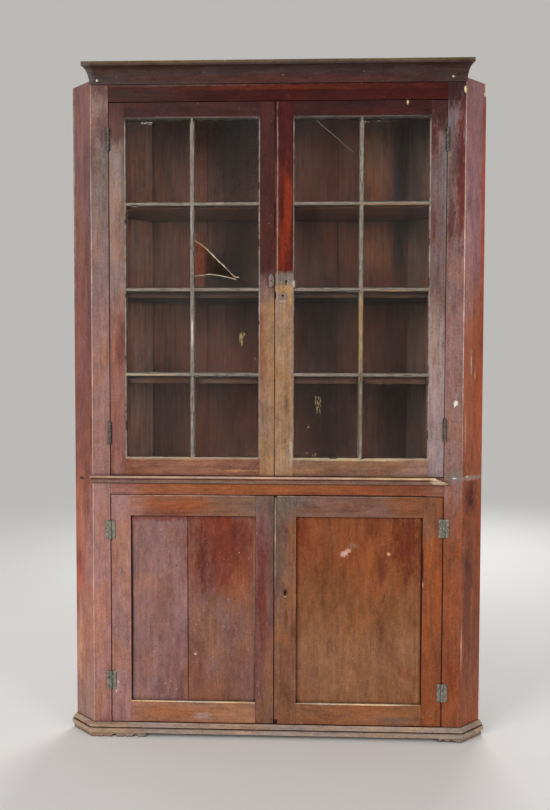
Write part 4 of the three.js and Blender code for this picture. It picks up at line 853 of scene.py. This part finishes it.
def putty(side, material):
    """A sloped fillet of putty round every pane, laid by hand: uneven, chipped, thin in places."""
    mesh = bmesh.new()
    face = front_face / MM
    sheet = glass_front / MM - face
    bed = sheet - seated
    for row, column, left, low in pane_corners(side):
        x0, z0 = left - putty_play, low - putty_play
        x1, z1 = left + pane_wide + putty_play, low + pane_high + putty_play
        corners = [(x0, z0), (x1, z0), (x1, z1), (x0, z1)]
        loops = [[], [], [], []]
        for edge, (ax, az) in enumerate(corners):
            bx, bz = corners[(edge + 1) % 4]
            count = round((abs(bx - ax) + abs(bz - az)) / putty_step)
            for k in range(count):
                t = k / count
                x, z = ax + (bx - ax) * t, az + (bz - az) * t
                reach, rise = putty_section(side, row, column, edge, x, z)
                inward = Vector((inward_step(x, x0, x1), inward_step(z, z0, z1)))
                middle = rise + (sheet - rise) * belly
                for loop, share, depth in zip(loops, (0.0, 0.5, 1.0, 0.0), (rise, middle, bed, bed)):
                    loop.append(mesh.verts.new((
                        (x + inward.x * reach * share) * MM, (face + depth) * MM,
                        (z + inward.y * reach * share) * MM)))
        for loop, following in zip(loops, loops[1:] + loops[:1]):
            for k in range(len(loop)):
                n = (k + 1) % len(loop)
                mesh.faces.new((loop[k], loop[n], following[n], following[k]))
    piece = add_piece(side + "_putty", mesh, material, f"upper_{side}_door")
    for polygon in piece.data.polygons:
        polygon.use_smooth = True


# Flecks on each door's glass: (x, z, half width and half height of the spot, half width and half height of a
# fleck, how many).
fleck_spots = {
    "left": [
        (-105, 1240, 8, 20, 1.5, 6.0, 24), (-66, 1182, 1.5, 8, 0.9, 5.0, 4), (-92, 911, 1, 1, 2.0, 2.0, 1),
        (-78, 892, 16, 9, 1.4, 1.2, 10), (-420, 1478, 8, 4, 1.8, 0.9, 3), (-200, 960, 70, 70, 0.9, 0.9, 10),
        (-380, 1520, 60, 90, 0.8, 0.8, 8), (-228, 1800, 12, 14, 1.2, 1.2, 4),
        (-398, 1899, 20, 3, 2.6, 1.5, 14)],
    "right": [
        (128, 1038, 9, 28, 1.1, 6.5, 20), (98, 971, 3, 4, 1.6, 2.4, 3), (117, 887, 5, 4, 1.1, 2.8, 5),
        (95, 890, 4, 7, 0.9, 3.0, 4), (384, 1076, 1, 1, 1.6, 1.6, 1), (330, 1100, 30, 6, 0.9, 2.4, 5),
        (160, 960, 80, 80, 0.8, 0.8, 14), (340, 1220, 80, 80, 0.8, 0.8, 8), (212, 1690, 4, 4, 1.4, 1.4, 2),
        (300, 1898, 40, 3, 2.2, 1.4, 8)],
}
fleck_corners = 7
fleck_back = 0.05  # how deep a fleck sits in the glass


def flecks(side, material, seed):
    """Old paint and dirt on a door's glass: small flat flecks with ragged outlines."""
    draw = random.Random(seed)
    mesh = bmesh.new()
    for x, z, wide, high, thin, long, count in fleck_spots[side]:
        for _ in range(count):
            cx, cz = x + draw.uniform(-1, 1) * wide, z + draw.uniform(-1, 1) * high
            size = draw.uniform(0.7, 1.6)
            lean = draw.uniform(-0.25, 0.25)
            outline = []
            for k in range(fleck_corners):
                angle, reach = math.tau * k / fleck_corners, draw.uniform(0.5, 1.0) * size
                dx, dz = math.cos(angle) * thin * reach, math.sin(angle) * long * reach
                outline.append((cx + dx + dz * lean, cz + dz))
            lift = draw.uniform(0.15, 0.4)
            slab(mesh, outline, glass_front - lift * MM, glass_front + fleck_back * MM)
    add_piece(side + "_glass_flecks", mesh, material, f"upper_{side}_door")


# The broken end of the waist moulding slants from x 483 at its top to 530 at its foot.
moulding_top, moulding_foot, break_start, break_run, rooted = 820, 797.5, 483, 47, 5
fibres = ((817.2, -4.0, 13, 1.3), (813.5, -6.5, 17, 1.5), (809.0, -5.0, 11, 1.2), (805.5, -3.5, 15, 1.4),
          (801.0, -3.0, 9, 1.2))  # z, y from the front face, length, half thickness


def slivers(material):
    """Split fibres that stand out from the broken end of the waist moulding."""
    mesh = bmesh.new()
    for z, y, length, thick in fibres:
        x = break_start + (moulding_top - z) / (moulding_top - moulding_foot) * break_run - rooted
        root = [(x, y - thick, z - thick * 0.6), (x, y + thick, z - thick * 0.5),
                (x, y + thick, z + thick * 0.7), (x, y - thick, z + thick * 0.5)]
        waist = [(px + length * 0.55, y + (py - y) * 0.6 + 0.4, z + (pz - z) * 0.6 - 0.5)
                 for px, py, pz in root]
        near, far = [[mesh.verts.new((px * MM, front_face + py * MM, pz * MM)) for px, py, pz in ring]
                     for ring in (root, waist)]
        tip = mesh.verts.new(((x + length + 5) * MM, front_face + (y + 1.0) * MM, (z - 1.4) * MM))
        mesh.faces.new(near)
        for k in range(4):
            n = (k + 1) % 4
            mesh.faces.new((near[k], near[n], far[n], far[k]))
            mesh.faces.new((far[k], far[n], tip))
    add_piece("moulding_slivers", mesh, material, "case")


def depth_of(node, x, z):
    """How far behind the front face a solid's front surface lies, in millimetres."""
    hit, place, _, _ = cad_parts[node].ray_cast((x * MM, -1.0, z * MM), (0, 1, 0))
    if not hit:
        raise ValueError(f"nothing of {node} lies at {x}, {z}")
    return (place.y - front_face) / MM


def heads_tree():
    """Round heads with or without a slot, one at each point, each turned by its own angle."""
    tree, g, into, out = node_group(
        "fastener_heads", (
            ("Points", "Geometry"), ("Radius", "Float"), ("Rise", "Float"), ("Slot width", "Float"),
            ("Slot depth", "Float"), ("Slotted", "Bool"), ("Seed", "Int"), ("Finish", "Material")),
        (("Heads", "Geometry"),), kind="Geometry")
    ball = g.take("GeometryNodeMeshUVSphere", {"Segments": 20, "Rings": 10, "Radius": into["Radius"]})
    flatness = g.math("DIVIDE", into["Rise"], into["Radius"])
    flatten = g.take("ShaderNodeCombineXYZ", {0: 1.0, 1: 1.0, 2: flatness})
    dome = g.take("GeometryNodeTransform", {"Geometry": ball, "Scale": flatten})
    long = g.times(into["Radius"], 2.4)
    size = g.take("ShaderNodeCombineXYZ", {0: long, 1: into["Slot width"], 2: into["Slot depth"]})
    lift = g.take("ShaderNodeCombineXYZ", {2: into["Rise"]})
    cutter = g.take("GeometryNodeMeshCube", {"Size": size})
    cutter = g.take("GeometryNodeTransform", {"Geometry": cutter, "Translation": lift})
    cut = g.take("GeometryNodeMeshBoolean", {"Mesh 1": dome, "Mesh 2": cutter}, operation="DIFFERENCE")
    pick = g.take("GeometryNodeSwitch", {"Switch": into["Slotted"], "False": dome, "True": cut},
                  input_type="GEOMETRY")
    facing = g.take("GeometryNodeTransform", {"Geometry": pick, "Rotation": (math.pi / 2, 0, 0)})
    angle = g.take("FunctionNodeRandomValue", {"Min": 0.0, "Max": math.pi, "Seed": into["Seed"]},
                   data_type="FLOAT", out="Value")
    turn = g.take("ShaderNodeCombineXYZ", {1: angle})
    spots = g.take("GeometryNodeInstanceOnPoints", {
        "Points": into["Points"], "Instance": facing, "Rotation": turn})
    real = g.take("GeometryNodeRealizeInstances", {0: spots})
    done = g.take("GeometryNodeSetMaterial", {"Geometry": real, "Material": into["Finish"]})
    tree.links.new(done, out["Heads"])
    return tree


def heads(tree, name, body, spots, material, radius, rise, seed, slotted=True):
    """Fastener heads at (x, y from the front face, z), in millimetres, as one plain mesh."""
    data = bpy.data.meshes.new(name + "_points")
    data.from_pydata([(x * MM, front_face + y * MM, z * MM) for x, y, z in spots], [], [])
    base = put(name + "_points", data)
    modifier = base.modifiers.new("heads", "NODES")
    modifier.node_group = tree
    given = {"Radius": radius * MM, "Rise": rise * MM, "Slot width": radius * 0.32 * MM,
             "Slot depth": rise * MM, "Slotted": slotted, "Seed": seed, "Finish": material}
    for socket in tree.interface.items_tree:
        if socket.in_out == "INPUT" and socket.name in given:
            modifier[socket.identifier] = given[socket.name]
    bpy.context.view_layer.update()
    done = bpy.data.meshes.new_from_object(base.evaluated_get(bpy.context.evaluated_depsgraph_get()))
    base.modifiers.clear()
    bpy.data.objects.remove(base)
    done.name = name
    hang(name, done, body)


leaf_face = -2.1  # how far a surface leaf stands out in front of the front face
screw_inset, zigzag = 5.0, 2.5
screw_shares = (-0.68, 0.0, 0.68)  # of the way from a leaf's middle to its ends


def leaf_screws(node):
    """Where the screws of a surface leaf sit: a zigzag along its outer edge."""
    low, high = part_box(node)
    at_low = low.x + high.x < 0 and "case" in node or low.x > 0 and "door" in node
    outer, inward = (low.x / MM, 1) if at_low else (high.x / MM, -1)
    middle, reach = (low.z + high.z) / 2 / MM, (high.z - low.z) / 2 / MM
    return [(outer + inward * (screw_inset + (k % 2) * zigzag), leaf_face, middle + reach * share)
            for k, share in enumerate(screw_shares)]


# ---------------------------------------------------------------- build
studio()
finish_nodes()
glass = old_glass()
# The putty's downward faces take painted shade, 4d3f31; deep in the rebate it takes 54463a, dirt and painted
# shade.
bead_putty = plain_finish("old_putty", "aea295", "7b6e61", grime="50463a", scale=70.0, under="4d3f31",
                          deep="54463a", marks=putty_marks)
for side in doors:
    glaze(side, glass)
    putty(side, bead_putty)
cut_glass_edges()
screw_steel = plain_finish("screw_iron", "a9a493", "4a463c", rough=(0.4, 0.7), scale=300.0, metal=0.5)
nail_iron = plain_finish("nail_iron", "6a5f58", "2f2826", rough=(0.35, 0.6), scale=300.0, metal=0.5)
bright_iron = plain_finish("bright_nail_iron", "dcdcc8", "8c8b78", rough=(0.3, 0.5), scale=300.0, metal=0.3)
tree = heads_tree()
hinge_sides = {"case": [], "lower_left_door": [], "lower_right_door": []}
for side in doors:
    for level in ("top", "bottom"):
        for part, body in (("case", "case"), ("door", f"lower_{side}_door")):
            hinge_sides[body] += leaf_screws(f"lower_{side}_{level}_hinge_{part}_leaf")
for number, (body, spots) in enumerate(hinge_sides.items()):
    heads(tree, body + "_hinge_screws", body, spots, screw_steel, 3.2, 0.7, number + 3)
heads(tree, "turn_button_screw", "turn_button", [(-16, -8.2, 1419)], nail_iron, 3.6, 0.8, 11)
for name, places, iron, radius, rise, seed in (
        ("bright_nails", ((-546, 2025), (528, 2027)), bright_iron, 3.9, 1.8, 19),
        ("dull_nails", ((-486, 2033), (-218, 2044), (262, 2043), (20, 2036)), nail_iron, 3.6, 1.0, 23)):
    spots = [(x, depth_of("cornice", x, z), z) for x, z in places]
    heads(tree, name, "case", spots, iron, radius, rise, seed, slotted=False)
slivers(plain_finish("raw_split_wood", "d0ac80", "a07a52", rough=(0.6, 0.8), scale=90.0))
fleck_paint = plain_finish("paint_fleck", "ae9868", "745c38", rough=(0.6, 0.8), scale=200.0,
                           marks=[("a8a59c", 0, 1899, 600, 14, 0.3, 0.2, 0.9)])
flecks("left", fleck_paint, 5)
flecks("right", fleck_paint, 8)
